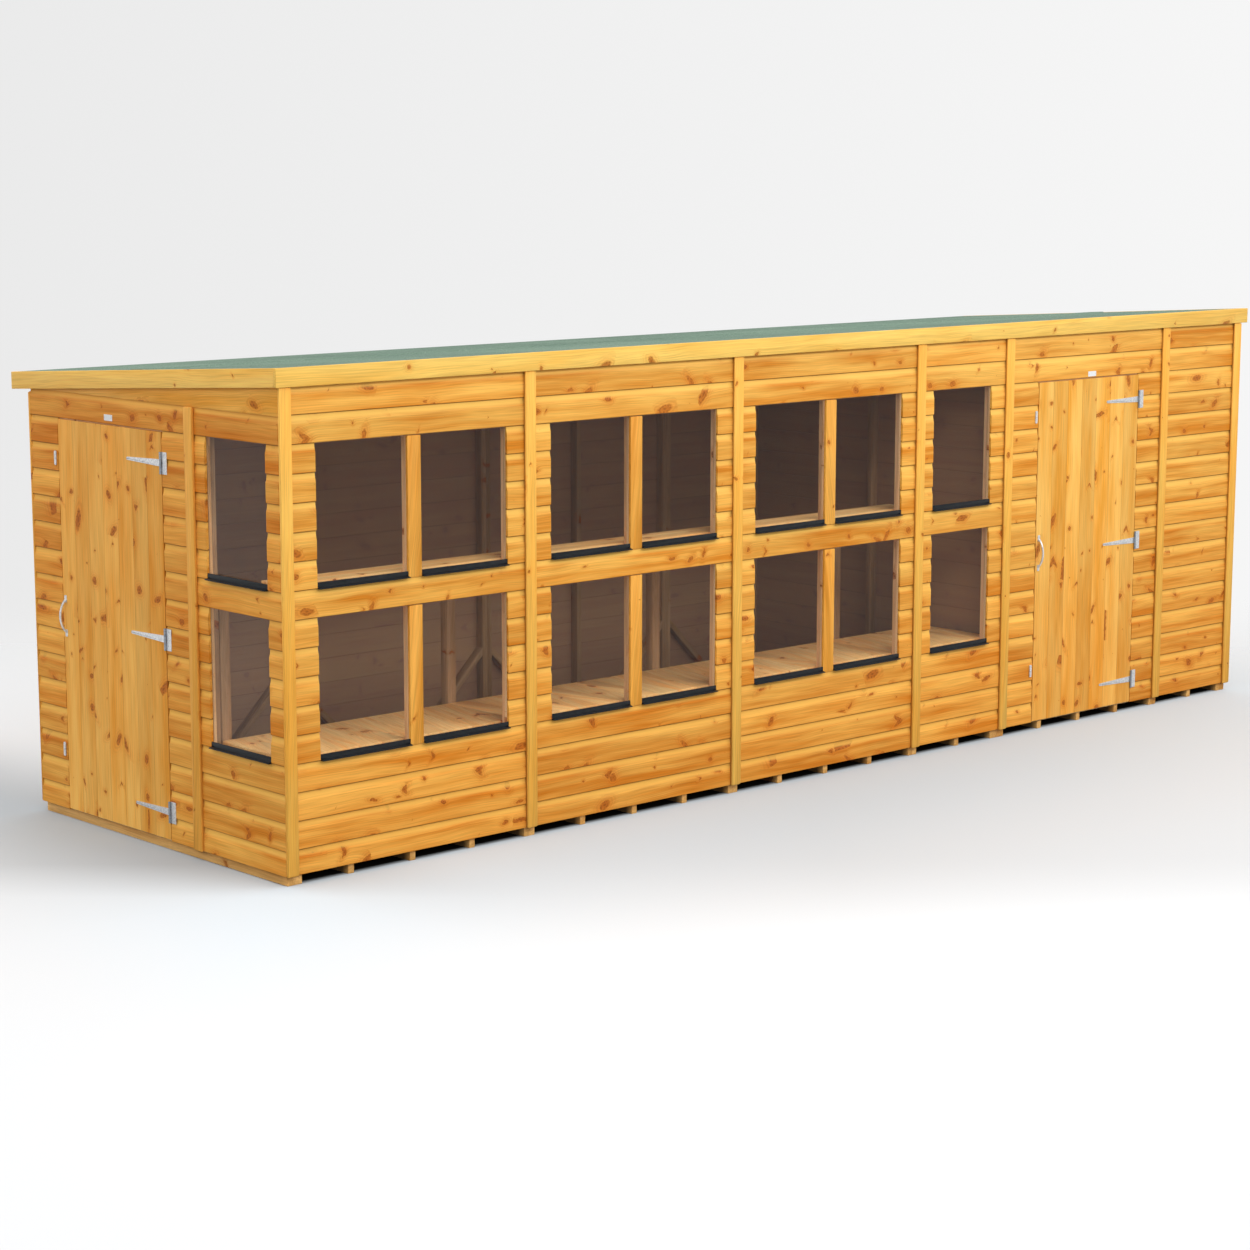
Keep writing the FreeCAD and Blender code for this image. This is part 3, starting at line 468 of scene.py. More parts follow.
def lap_light_and_shade(tree, into, colour):
    """Painted highlight in the scoop, and painted shade low on the board, along the lip, under the next
    board's lip and on the back.
    """
    rise = attribute(tree, "rise")
    # Painted highlight, paler toward the top of the scoop.
    highlight = fit(tree, rise, COURSE - COVE_BAND, COURSE - COVE_BAND*0.5, 0.0, COVE_HIGHLIGHT_SHARE, smooth=True)
    # Painted shade along the lip and under the next board's lip.
    lip = fit(tree, rise, LIP_GAP, LIP_GAP + LIP_LINE, LAP_SHADE, 0.0)
    under = fit(tree, rise, COURSE - UNDER_LINE, COURSE + LIP_GAP, 0.0, LAP_SHADE)
    # Painted shade, darker and more orange toward the board's lower edge.
    shaded_low = blend(tree, fit(tree, rise, 0.0, LOW_REACH, LOW_SHADE_SHARE, 0.0), colour, LOW_SHADE_COLOUR)
    highlighted = blend(tree, highlight, shaded_low, COVE_HIGHLIGHT)
    stained_and_shaded = blend(tree, most(tree, lip, under), highlighted, STAIN_AND_SHADE_COLOUR)
    # The bare back, darkened by painted shade, and darker still along the step of the lap.
    back_line = fit(tree, rise, LAP + GAP, LAP + BACK_LINE, BACK_LINE_SHADE, 0.0)
    back = blend(tree, back_line, blend(tree, BARE_AND_SHADE_SHARE, colour, BARE_AND_SHADE_COLOUR), SHADE_COLOUR)
    return both_sides(tree, into, CLAD, painted_falloff(tree, stained_and_shaded), back)


def joint_stain_and_shade(tree, into, colour):
    """A little darker along both edges of a door board, plus the painted shade by height."""
    rise = attribute(tree, "rise")
    left = fit(tree, rise, *JOINT_LEFT, JOINT_STAIN, 0.0)
    right = fit(tree, rise, *JOINT_RIGHT, 0.0, JOINT_STAIN)
    stained_and_shaded = blend(tree, most(tree, left, right), colour, STAIN_AND_SHADE_COLOUR)
    back = blend(tree, DOOR_BACK_SHARE, colour, DOOR_BACK)
    return both_sides(tree, into, DOOR_THICK, painted_falloff(tree, stained_and_shaded), back)


print("boards can be marked")

# %% The woods of the shed
# Light colour, deep colour, share of knots, spread of tones, and what else differs.
WOOD_KINDS = {
    "shiplap": ((0.97, 0.525, 0.103), (0.71, 0.243, 0.017), 0.78, 0.09, {"marks_and_painted_light": lap_light_and_shade}),
    "door": ((1.0, 0.58, 0.140), (0.86, 0.37, 0.042), 0.78, 0.10, {"marks_and_painted_light": joint_stain_and_shade, "bands": 12.0}),
    "strip": ((1.0, 0.57, 0.112), (1.0, 0.47, 0.068), 0.34, 0.05, {"marks_and_painted_light": strip_painted_shade, "bands": 12.0}),
    # Darker copy of the strip timber: painted shade on the left end and back.
    "shaded end strip": ((0.88, 0.43, 0.075), (0.78, 0.33, 0.042), 0.45, 0.05, {"bands": 12.0}),
    "mullion": ((0.92, 0.45, 0.080), (0.76, 0.30, 0.032), 0.34, 0.05, {}),
    "wedge": ((0.96, 0.50, 0.100), (0.80, 0.34, 0.040), 0.40, 0.05, {}),
    "fascia": ((0.93, 0.595, 0.135), (0.88, 0.48, 0.080), 0.40, 0.04, {"bands": 14.0}),
    # Lighter copy of the fascia timber: painted light on the left end.
    "lit end fascia": ((1.0, 0.62, 0.150), (0.98, 0.53, 0.100), 0.40, 0.04, {"bands": 14.0}),
    "jamb": ((1.0, 0.66, 0.35), (0.84, 0.48, 0.22), 0.5, 0.10, {"rough": 0.65}),
    # Darker copies of the jamb timber: painted shade on the left window frame and the timbers inside.
    "shaded end jamb": ((0.56, 0.37, 0.20), (0.47, 0.27, 0.125), 0.5, 0.10, {"rough": 0.65}),
    "inner": ((0.45, 0.27, 0.135), (0.33, 0.18, 0.075), 0.5, 0.10, {"rough": 0.65}),
    "joist": ((0.92, 0.52, 0.17), (0.68, 0.31, 0.07), 0.5, 0.10, {"rough": 0.65, "marks_and_painted_light": joist_painted_shade}),
    "bench": ((1.0, 0.65, 0.265), (0.98, 0.49, 0.15), 0.5, 0.08, {"rough": 0.6}),
}
WOODS = {}
for kind, (light, deep, knot_amount, spread, others) in WOOD_KINDS.items():
    WOODS[kind] = wood(f"{kind} softwood", light, deep, knot_amount, spread, **others)
print("wood shaders:", ", ".join(WOODS))

# %% [markdown]
# ## Felt, board, plastic, zinc and glass
# The roof wears green mineral felt over strand board, the sills are black plastic, the
# fittings bright zinc, and their knuckles a darker copy of the zinc for painted shade. Each
# could be one plain colour, but none is flat close up. Felt has mineral grit, board has pressed
# strands, plastic a faint sheen, zinc a soft spangle, so each gets a noise or Voronoi texture at
# the size of its own grain. Glass with refraction would cost many samples for thin flat panes.
# These let light straight through, show the eye a faint even glow as a painted reflection, and
# mirror more at a low angle, by the Facing value of a Layer Weight node.

# %% Felt and strand board
FELT_COLOURS = [(0.36, (0.078, 0.126, 0.096)), (0.5, (0.156, 0.237, 0.179)), (0.66, (0.300, 0.410, 0.318))]
BOARD_COLOURS = [(0.2, (0.42, 0.25, 0.11)), (0.5, (0.56, 0.37, 0.18)), (0.85, (0.70, 0.51, 0.28))]


def felt_shader():
    made, tree, surface = material("mineral felt")
    place = object_place(tree)
    grit = noise(tree, place, 900.0, 1.0)
    mottle = noise(tree, place, 170.0, 3.0)
    patch = noise(tree, place, 1.4, 2.0)
    speck = voronoi(tree, place, 420.0)["Distance"]
    mixed = total(tree, product(tree, grit, 0.4), product(tree, mottle, 0.45))
    mixed = total(tree, mixed, product(tree, patch, 0.15))
    coat(tree, surface, ramp(tree, mixed, FELT_COLOURS), 0.92, 0.15)
    bump(tree, surface, total(tree, grit, speck), 0.5, 0.0015)
    return made


def sheet_shader():
    made, tree, surface = material("strand board")
    place = object_place(tree)
    strand = picks_of(tree, voronoi(tree, place, 28.0, distance="MANHATTAN")["Color"])[0]
    mixed = total(tree, product(tree, strand, 0.7), product(tree, noise(tree, place, 60.0), 0.3))
    coat(tree, surface, ramp(tree, mixed, BOARD_COLOURS), 0.75)
    bump(tree, surface, strand, 0.25, 0.001)
    return made


FELT = felt_shader()
SHEET = sheet_shader()
print("made", FELT.name, "and", SHEET.name)

# %% Plastic, zinc and white plates
PLASTIC_COLOURS = [(0.3, (0.006, 0.008, 0.010)), (0.7, (0.012, 0.015, 0.018))]
ENAMEL_COLOURS = [(0.3, (0.80, 0.81, 0.82)), (0.7, (0.88, 0.88, 0.88))]
ZINC_METAL = 0.85


def plastic_shader():
    made, tree, surface = material("sill plastic")
    scuff = noise(tree, object_place(tree), 45.0, 3.0)
    coat(tree, surface, ramp(tree, scuff, PLASTIC_COLOURS), fit(tree, scuff, 0.3, 0.7, 0.28, 0.42), 0.2)
    return made


def zinc_shader(name, dull, bright):
    made, tree, surface = material(name)
    place = object_place(tree)
    spangle = picks_of(tree, voronoi(tree, place, 180.0)["Color"])[0]
    rough = fit(tree, noise(tree, place, 60.0), 0.3, 0.7, 0.3, 0.45)
    coat(tree, surface, ramp(tree, spangle, [(0.0, dull), (1.0, bright)]), rough)
    feed(tree, ZINC_METAL, surface.inputs["Metallic"])
    return made


def enamel_shader():
    made, tree, surface = material("white plate")
    cloud = noise(tree, object_place(tree), 70.0)
    coat(tree, surface, ramp(tree, cloud, ENAMEL_COLOURS), 0.35)
    return made


PLASTIC = plastic_shader()
ZINC = zinc_shader("bright zinc", (0.56, 0.58, 0.60), (0.80, 0.80, 0.80))
# A darker copy of the zinc for knuckles and pins: painted shade.
SHADED_ZINC = zinc_shader("shaded knuckle zinc", (0.22, 0.25, 0.29), (0.36, 0.39, 0.43))
ENAMEL = enamel_shader()
print("made", ", ".join(made.name for made in (PLASTIC, ZINC, SHADED_ZINC, ENAMEL)))

# %% Clear panes
WHITE = (1.0, 1.0, 1.0, 1.0)
PANE_TINT = [(0.3, (0.94, 0.94, 0.94)), (0.7, (0.97, 0.97, 0.97))]
PANE_REFLECTION_GLOW = 0.007


def glass_shader():
    made, tree, surface = material("clear pane")
    tint = ramp(tree, noise(tree, object_place(tree), 2.0), PANE_TINT)
    eye = add(tree, "ShaderNodeLightPath", {}).outputs["Is Camera Ray"]
    clear = add(tree, "ShaderNodeBsdfTransparent", {"Color": blend(tree, eye, WHITE, tint)}).outputs[0]
    mirror = add(tree, "ShaderNodeBsdfGlossy", {"Color": WHITE, "Roughness": 0.02}).outputs[0]
    facing = add(tree, "ShaderNodeLayerWeight", {"Blend": 0.5}).outputs["Facing"]
    edge = fit(tree, calc(tree, "POWER", facing, 5.0), 0.0, 1.0, 0.004, 0.6)
    # Seen only by the eye: an even glow, a painted reflection of the studio on the glass.
    reflection_glow = add(tree, "ShaderNodeEmission", {"Strength": product(tree, eye, PANE_REFLECTION_GLOW)}).outputs[0]
    both = add(tree, "ShaderNodeAddShader", {0: mix_shaders(tree, edge, clear, mirror), 1: reflection_glow})
    tree.links.new(both.outputs[0], tree.nodes["Material Output"].inputs["Surface"])
    tree.nodes.remove(surface)
    return made


GLASS = glass_shader()
print("made", GLASS.name)

# %% [markdown]
# ## Pieces and what they stand for
# A dressed piece takes the place of a CAD node and moves with that node's body. The solids
# could be given a finish and no more, but then their edges would stay razor sharp, and all
# the boards of a panel would share one grain. Shading is smooth, but edges that turn more
# than a set angle stay crisp, as planed timber does.

# %% Piece helpers
def new_piece(name, mesh):
    piece = bpy.data.objects.new(name, mesh)
    scene.collection.objects.link(piece)
    return piece


def settle(piece, body, slot, *nodes, crisp=35):
    """Shade the piece, let it stand for its CAD nodes and ride on its body."""
    mesh = piece.data
    mesh.polygons.foreach_set("use_smooth", [True]*len(mesh.polygons))
    mesh.set_sharp_from_angle(angle=math.radians(crisp))
    if nodes:
        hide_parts(*nodes)
    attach(piece, body)


def skin(bm, rings):
    """Close a stack of like rings into a solid, or into a tube if its ends are the same."""
    tube = rings[0] == rings[-1]
    made = [[bm.verts.new(point) for point in ring] for ring in (rings[:-1] if tube else rings)]
    above = made[1:] + made[:1] if tube else made[1:]
    for low, high in zip(made, above):
        for first, second in zip(range(-1, len(low) - 1), range(len(low))):
            bm.faces.new((low[first], low[second], high[second], high[first]))
    if not tube:
        bm.faces.new(made[0])
        bm.faces.new(made[-1])
    return made


def kept(bm, name):
    """Turn the faces outward and keep the work as a mesh."""
    bmesh.ops.recalc_face_normals(bm, faces=bm.faces)
    mesh = bpy.data.meshes.new(name)
    bm.to_mesh(mesh)
    bm.free()
    return mesh


def extruded(name, profile, cuts, place):
    """A bar one metre long with a closed profile; place turns along, p, q into x, y, z."""
    bm = bmesh.new()
    grain = bm.verts.layers.float_vector.new("grain")
    parts = [cut/cuts for cut in range(cuts + 1)]
    made = skin(bm, [[place(part, p, q) for p, q in profile] for part in parts])
    for part, ring in zip(parts, made):
        for vert, (p, q) in zip(ring, profile):
            vert[grain] = (part, p, q)
    return kept(bm, name)


print("piece helpers ready")

# %% [markdown]
# ## One node tree for every row of boards
# The walls and the doors are all rows of like boards. An Array modifier could repeat a board,
# but each one needs its own length, tone and grain, so one Geometry Nodes tree lays them. Its
# input is a cloud of points, one for each board, which carries the board's length and the
# number of its section. The tree picks that section from a collection, stretches it, gives
# each board its own tone and a fresh stretch of grain, and lets it bow by a fraction of a
# millimetre. Realize Instances makes it plain mesh at the end.

# %% The board tree
GRAIN_SHIFT = (53.0, 0.0, 17.0)
BOW_WAVE = 2.5


def node_tree(name, inputs):
    """A Geometry Nodes tree with named inputs, its input keys, and its two end nodes."""
    tree = bpy.data.node_groups.new(name, "GeometryNodeTree")
    keys = {label: tree.interface.new_socket(label, in_out="INPUT", socket_type=kind).identifier
            for label, kind in inputs}
    tree.interface.new_socket("Result", in_out="OUTPUT", socket_type="NodeSocketGeometry")
    return tree, keys, tree.nodes.new("NodeGroupInput").outputs, tree.nodes.new("NodeGroupOutput").inputs


def named(tree, name, kind):
    return add(tree, "GeometryNodeInputNamedAttribute", {"Name": name}, data_type=kind).outputs[0]


def store(tree, geometry, name, kind, value):
    sockets = {"Geometry": geometry, "Name": name, "Value": value}
    return add(tree, "GeometryNodeStoreNamedAttribute", sockets, data_type=kind, domain="POINT").outputs[0]


def board_tree():
    tree, keys, given, result = node_tree("Rows of boards", (
        ("Points", "NodeSocketGeometry"), ("Sections", "NodeSocketCollection"),
        ("Lengthwise", "NodeSocketVector"), ("Bow", "NodeSocketVector"),
        ("Seed", "NodeSocketInt"), ("Finish", "NodeSocketMaterial")))
    chance = add(tree, "FunctionNodeRandomValue", {"Seed": given["Seed"]}, data_type="FLOAT").outputs[1]
    points = store(tree, given["Points"], "tone", "FLOAT", chance)
    reach = named(tree, "reach", "FLOAT")
    longer = times(tree, given["Lengthwise"], less(tree, reach, 1.0))
    sections = add(tree, "GeometryNodeCollectionInfo", {"Collection": given["Sections"],
                                                        "Separate Children": True, "Reset Children": True})
    placed = add(tree, "GeometryNodeInstanceOnPoints", {
        "Points": points, "Instance": sections.outputs[0], "Pick Instance": True,
        "Instance Index": named(tree, "kind", "INT"),
        "Scale": mix_vectors(tree, "ADD", longer, (1.0, 1.0, 1.0))})
    real = add(tree, "GeometryNodeRealizeInstances", {"Geometry": placed.outputs[0]}).outputs[0]
    grain = named(tree, "grain", "FLOAT_VECTOR")
    own = mix_vectors(tree, "ADD", mix_vectors(tree, "MULTIPLY", grain, vector(tree, reach, 1.0, 1.0)),
                      times(tree, GRAIN_SHIFT, named(tree, "tone", "FLOAT")))
    risen = store(tree, real, "rise", "FLOAT", parts_of(tree, grain)[2])
    marked = store(tree, risen, "grain", "FLOAT_VECTOR", own)
    wave = add(tree, "ShaderNodeTexNoise", {"Vector": grain, "Scale": BOW_WAVE, "Detail": 1.0})
    even = mix_vectors(tree, "SUBTRACT", wave.outputs["Color"], (0.5, 0.5, 0.5))
    bowed = add(tree, "GeometryNodeSetPosition", {
        "Geometry": marked, "Offset": mix_vectors(tree, "MULTIPLY", even, given["Bow"])})
    painted = add(tree, "GeometryNodeSetMaterial", {"Geometry": bowed.outputs[0],
                                                    "Material": given["Finish"]})
    tree.links.new(painted.outputs[0], result[0])
    return tree, keys


BOARD_TREE, BOARD_KEYS = board_tree()
print("board tree:", len(BOARD_TREE.nodes), "nodes, inputs", ", ".join(BOARD_KEYS))

# %% Lay boards with the tree
def grown(points, tree, keys, values):
    """Run a node tree on a cloud of points and keep the result as a plain mesh."""
    host = new_piece("host", points)
    rows = host.modifiers.new("Rows", "NODES")
    rows.node_group = tree
    for label, value in values.items():
        rows[keys[label]] = value
    ready = bpy.context.evaluated_depsgraph_get()
    mesh = bpy.data.meshes.new_from_object(host.evaluated_get(ready))
    bpy.data.objects.remove(host)
    return mesh


def cloud(spots):
    """Points with the length and the section number of each board."""
    points = bpy.data.meshes.new("spots")
    points.from_pydata([place for place, reach, kind in spots], [], [])
    points.attributes.new("reach", "FLOAT", "POINT").data.foreach_set("value", [s[1] for s in spots])
    points.attributes.new("kind", "INT", "POINT").data.foreach_set("value", [s[2] for s in spots])
    return points


def lay(name, spots, sections, lengthwise, bow, seed, finish, wall):
    mesh = grown(cloud(spots), BOARD_TREE, BOARD_KEYS, {
        "Sections": sections, "Lengthwise": lengthwise, "Bow": bow, "Seed": seed, "Finish": finish})
    mesh.transform(WALLS[wall])
    return new_piece(name, mesh)


def section_set(name, meshes):
    """A collection of board sections, numbered in the order given."""
    group = bpy.data.collections.new(name)
    for number, mesh in enumerate(meshes):
        group.objects.link(bpy.data.objects.new(f"{name}_{number}", mesh))
    return group


print("boards can be laid")

# %% [markdown]
# ## Shiplap
# A shiplap board has a thin lip that laps over the board below, a flat face, and a scooped
# top that catches the light. That scoop, with a painted highlight from the shader, makes the
# pale band along the top of every board, and the lip's shadow, with painted shade along it,
# makes the dark line above it. A bump map could draw such lines on a flat wall, but it throws
# no shadow and has no steps beside a window, so the section is real.
# A spare row of points near each end of the face keeps its smooth shading flat. Four sections
# are needed: the ripped board at the bottom, the full board, the top one, which has no
# tongue, and the one that starts on the floor sheets inside.

# %% Shiplap sections
LIP_EASE = 0.0018
SCOOP_STEPS = 6
SCOOP_CURVE = 1.8
FLAT_EDGE = 0.002
FIRST_START = LOW_SEAM - COURSE
FLOOR_TOP = 0.050
BOARD_CUTS = 10
LOW, FULL, TOP, INDOOR_LOW = range(4)


def shiplap(low, lipped, tongued):
    """Section of a board as points (into the wall, up), from the front of its lower edge."""
    face_top = COURSE - SCOOP
    points = [(LIP_EASE, low), (LIP_EASE*0.3, low + LIP_EASE*0.3), (0.0, low + LIP_EASE)]
    points += [(0.0, low + 2*LIP_EASE), (0.0, face_top - FLAT_EDGE), (0.0, face_top)]
    for step in range(1, SCOOP_STEPS + 1):
        part = step/SCOOP_STEPS
        points.append((SCOOP_DEEP*(1 - (1 - part)**SCOOP_CURVE), face_top + SCOOP*part))
    if tongued:
        points += [(SCOOP_DEEP + GAP, COURSE + LAP), (CLAD, COURSE + LAP)]
    else:
        points.append((CLAD, COURSE))
    if lipped:
        points += [(CLAD, LAP + GAP), (SCOOP_DEEP, LAP + GAP), (SCOOP_DEEP, low)]
    else:
        points.append((CLAD, low))
    return points


def level_board(along, into, up):
    return (along, into, up)


sections = {
    "ripped_board": shiplap(CLAD_BOTTOM - FIRST_START, lipped=False, tongued=True),
    "full_board": shiplap(LIP_GAP, lipped=True, tongued=True),
    "top_board": shiplap(LIP_GAP, lipped=True, tongued=False),
    "indoor_board": shiplap(FLOOR_TOP - FIRST_START, lipped=False, tongued=True),
}
SHIPLAP = section_set("shiplap", [
    extruded(name, section, BOARD_CUTS, level_board) for name, section in sections.items()])

# %% [markdown]
# ## The clad panels
# Each panel is a stack of courses, and a course breaks where a window or door passes. The
# holes could be cut from whole boards with a Boolean, but then the grain of a long board would
# run on past the window, where the real one is pieced. So every piece is a board of its own.
# The panel list below is the whole cladding plan: wall, left and right ends, courses, gaps.

# %% Cladding plan
WINDOW_ROWS = (range(4, 9), range(10, 15))
DOOR_ROWS = range(0, 15)
FRONT_COURSES = 17
END_COURSES = 16
PAIR = 2*PANE + MULLION
STORE_END = LENGTH - CLAD
BAY_4 = END_WALL + 3*PANEL
NARROW_PANE = 0.404
END_PANE = 0.400
END_PANE_MARGIN = 0.085
BACK_PANELS = 5


def window(left, width):
    return [(rows, left, left + width) for rows in WINDOW_ROWS]


def doorway(left):
    return [(DOOR_ROWS, left - DOOR_GAP, left + DOOR_WIDTH + DOOR_GAP)]


def wide_bay(number):
    left = END_WALL + number*PANEL
    return window(left + (PANEL - PAIR)/2, PAIR)


def plain_panels(edges):
    return [(left, right, END_COURSES, []) for left, right in zip(edges, edges[1:])]


front_edges = [CLAD, END_WALL + PANEL, END_WALL + 2*PANEL, BAY_4, STORE_SPLIT, LAST_JOINT, STORE_END]
front_gaps = [wide_bay(bay) for bay in range(3)]
front_gaps += [window(BAY_4 + (NARROW - NARROW_PANE)/2, NARROW_PANE), doorway(FRONT_DOOR), []]
back_panel = (LENGTH - 2*END_WALL)/BACK_PANELS
back_edges = [CLAD] + [END_WALL + back_panel*k for k in range(1, BACK_PANELS)] + [STORE_END]
end_left = DEPTH - END_JOINT
end_window = window(DEPTH - END_PANE_MARGIN - END_PANE, END_PANE)
CLADDING = {}
for bay, gaps in enumerate(front_gaps):
    panel = (front_edges[bay], front_edges[bay + 1], FRONT_COURSES, gaps)
    CLADDING[f"front_cladding_{bay + 1}"] = ("front", [panel])
CLADDING["left_door_cladding"] = ("left", [(0.0, end_left, END_COURSES, doorway(LEFT_DOOR))])
CLADDING["left_window_cladding"] = ("left", [(end_left, DEPTH, END_COURSES, end_window)])
CLADDING["right_cladding"] = ("right", plain_panels([0.0, END_JOINT, DEPTH]))
CLADDING["back_cladding"] = ("back", plain_panels(back_edges))
CLADDING["partition_cladding"] = ("partition", plain_panels([END_WALL, DEPTH - END_WALL]))
print("clad nodes:", len(CLADDING))

# %% Clad the walls
END_GAP = 0.0008
LEVEL = (1.0, 0.0, 0.0)
WALL_BOW = (0.0, 0.0006, 0.0)


def course_spots(start, end, courses, gaps, low_kind):
    """A point for every board of a panel, with its length and section."""
    spots = []
    for course in range(courses):
        kind = low_kind if course == 0 else TOP if course == courses - 1 else FULL
        edges = [start]
        for rows, left, right in gaps:
            if course in rows:
                edges += [left, right]
        edges.append(end)
        for left, right in zip(edges[::2], edges[1::2]):
            place = (left + END_GAP, 0.0, FIRST_START + course*COURSE)
            spots.append((place, right - left - 2*END_GAP, kind))
    return spots


for seed, (node, (wall, panels)) in enumerate(CLADDING.items()):
    spots = []
    for start, end, courses, gaps in panels:
        spots += course_spots(start, end, courses, gaps, INDOOR_LOW if wall == "partition" else LOW)
    piece = lay(f"{node}_boards", spots, SHIPLAP, LEVEL, WALL_BOW, seed, WOODS["shiplap"], wall)
    settle(piece, "shed", "shiplap", node)
    print(node, len(spots), "boards,", len(piece.data.polygons), "faces")

# %% [markdown]
# ## Sawn and planed timbers
# Studs, rails, strips and fascias could be drawn again as boxes, but braces and rafters are
# cut at angles, and the frame already has each one right. It only has razor sharp edges and
# no grain. A CAD mesh is loose triangles, one solid after another, so a solid is complete
# when none of its edges is open. Each one is welded, its edges are eased, and its grain runs
# along its longest edge.

# %% Take a node apart into its solids
FLAT_TURN = math.radians(1)


def solids(mesh):
    """The corners of the faces of each closed solid in turn."""
    spots = [tuple(round(part, 6) for part in vert.co) for vert in mesh.vertices]
    faces = []
    open_edges = set()
    for polygon in mesh.polygons:
        corners = [spots[index] for index in polygon.vertices]
        faces.append(corners)
        for pair in zip(corners, corners[1:] + corners[:1]):
            open_edges ^= {frozenset(pair)}
        if not open_edges:
            yield faces
            faces = []


def welded(faces):
    bm = bmesh.new()
    made = {}
    for corners in faces:
        for spot in corners:
            if spot not in made:
                made[spot] = bm.verts.new(spot)
        bm.faces.new([made[spot] for spot in corners])
    bmesh.ops.dissolve_limit(bm, angle_limit=FLAT_TURN, verts=bm.verts, edges=bm.edges)
    return bm


def timber_axes(bm):
    """Along, into and across a timber, from its longest edge and its widest side."""
    runs = [edge.verts[1].co - edge.verts[0].co for edge in bm.edges]
    along = max(runs, key=lambda run: run.length).normalized()
    sides = [run - along*run.dot(along) for run in runs]
    across = max(sides, key=lambda run: run.length).normalized()
    return along, along.cross(across), across


print("solids can be taken apart")

# %% Dress the solids of a node
def dressed(node, finish, edge, rounds, seed):
    """All the solids of a node with eased edges, each with its own grain and tone."""
    draw = random.Random(seed)
    places, faces, grains, tones = [], [], [], []
    for solid in solids(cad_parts[node].data):
        bm = welded(solid)
        axes = timber_axes(bm)
        bmesh.ops.bevel(bm, geom=bm.edges, offset=edge, segments=rounds, profile=0.5, affect="EDGES",
                        clamp_overlap=True)
        tone = draw.random()
        shift = Vector(GRAIN_SHIFT)*draw.random()
        bm.verts.index_update()
        faces += [[len(places) + vert.index for vert in face.verts] for face in bm.faces]
        for vert in bm.verts:
            places.append(vert.co.copy())
            grains += [vert.co.dot(axis) + offset for axis, offset in zip(axes, shift)]
            tones.append(tone)
        bm.free()
    mesh = bpy.data.meshes.new(node)
    mesh.from_pydata(places, [], faces)
    mesh.attributes.new("grain", "FLOAT_VECTOR", "POINT").data.foreach_set("vector", grains)
    mesh.attributes.new("tone", "FLOAT", "POINT").data.foreach_set("value", tones)
    mesh.materials.append(finish)
    return new_piece(f"{node}_dressed", mesh)


print("solids can be dressed")

# %% Timbers by finish
# Width of the eased edge, its steps, and the turn in degrees that stays crisp.
SAWN = (0.0015, 2, 35)
PLANED = (0.0020, 2, 35)
ROUNDED = (0.0070, 3, 60)
TIMBERS = (
    (WOODS["jamb"], SAWN, "shed", "frame_timber", [f"front_frame_{bay}" for bay in range(1, 7)]),
    (WOODS["jamb"], SAWN, "shed", "frame_timber", ["left_door_frame", "glazing_beads"]),
    (WOODS["shaded end jamb"], SAWN, "shed", "frame_timber", ["left_window_frame"]),
    (WOODS["inner"], SAWN, "shed", "frame_timber", ["right_frames", "back_frames", "partition_frame"]),
    (WOODS["inner"], SAWN, "shed", "frame_timber", ["rafters", "end_wedge_rafters", "back_braces"]),
    (WOODS["inner"], SAWN, "shed", "frame_timber", ["bench_supports", "shelf_brackets"]),
    (WOODS["bench"], SAWN, "shed", "frame_timber", ["bench_boards", "shelf_boards"]),
    (WOODS["strip"], ROUNDED, "shed", "trim_timber", ["front_cover_strips"]),
    (WOODS["shaded end strip"], ROUNDED, "shed", "trim_timber", ["end_cover_strips", "back_cover_strips"]),
    (WOODS["fascia"], PLANED, "shed", "trim_timber", ["front_fascia"]),
    (WOODS["lit end fascia"], PLANED, "shed", "trim_timber", ["end_fascias"]),
    (WOODS["joist"], SAWN, "shed", "frame_timber", ["floor_joists"]),
    (WOODS["mullion"], SAWN, "shed", "shiplap", ["window_mullions"]),
    (WOODS["wedge"], SAWN, "shed", "shiplap", ["end_wedge_boards"]),
    (PLASTIC, SAWN, "shed", "sill_plastic", ["sill_strips"]),
    (WOODS["jamb"], SAWN, "left_door", "frame_timber", ["left_door_ledges"]),
    (WOODS["jamb"], SAWN, "front_door", "frame_timber", ["front_door_ledges"]),
)
seed = 0
for finish, (edge, rounds, crisp), body, slot, nodes in TIMBERS:
    for node in nodes:
        piece = dressed(node, finish, edge, rounds, seed)
        settle(piece, body, slot, node, crisp=crisp)
        seed += 1
        print(node, len(piece.data.polygons), "faces")

# %% [markdown]
# ## Doors
# The doors are upright boards set edge to edge on ledges. One wide panel with grooves would
# carry the same grain right across, so the board tree lays them too: the section is a plain
# board with eased edges, turned upright.

# %% Door boards
DOOR_JOINT = 0.0003
DOOR_EASE = 0.0004
DOOR_CUTS = 8
DOOR_BOW = (0.0, 0.0004, 0.0)
DOOR_SEED = 40
UPWARD = (0.0, 0.0, 1.0)
DOORS = {"left": LEFT_DOOR, "front": FRONT_DOOR}


def plain_board(width, thick, ease):
    """Section of a board as points (into the wall, across), eased on all four edges."""
    near, far = ease, thick - ease
    left, right = ease, width - ease
    return [(near, 0.0), (0.0, left), (0.0, right), (near, width), (far, width), (thick, right),
            (thick, left), (far, 0.0)]


def upright_board(along, into, across):
    return (across, into, along)


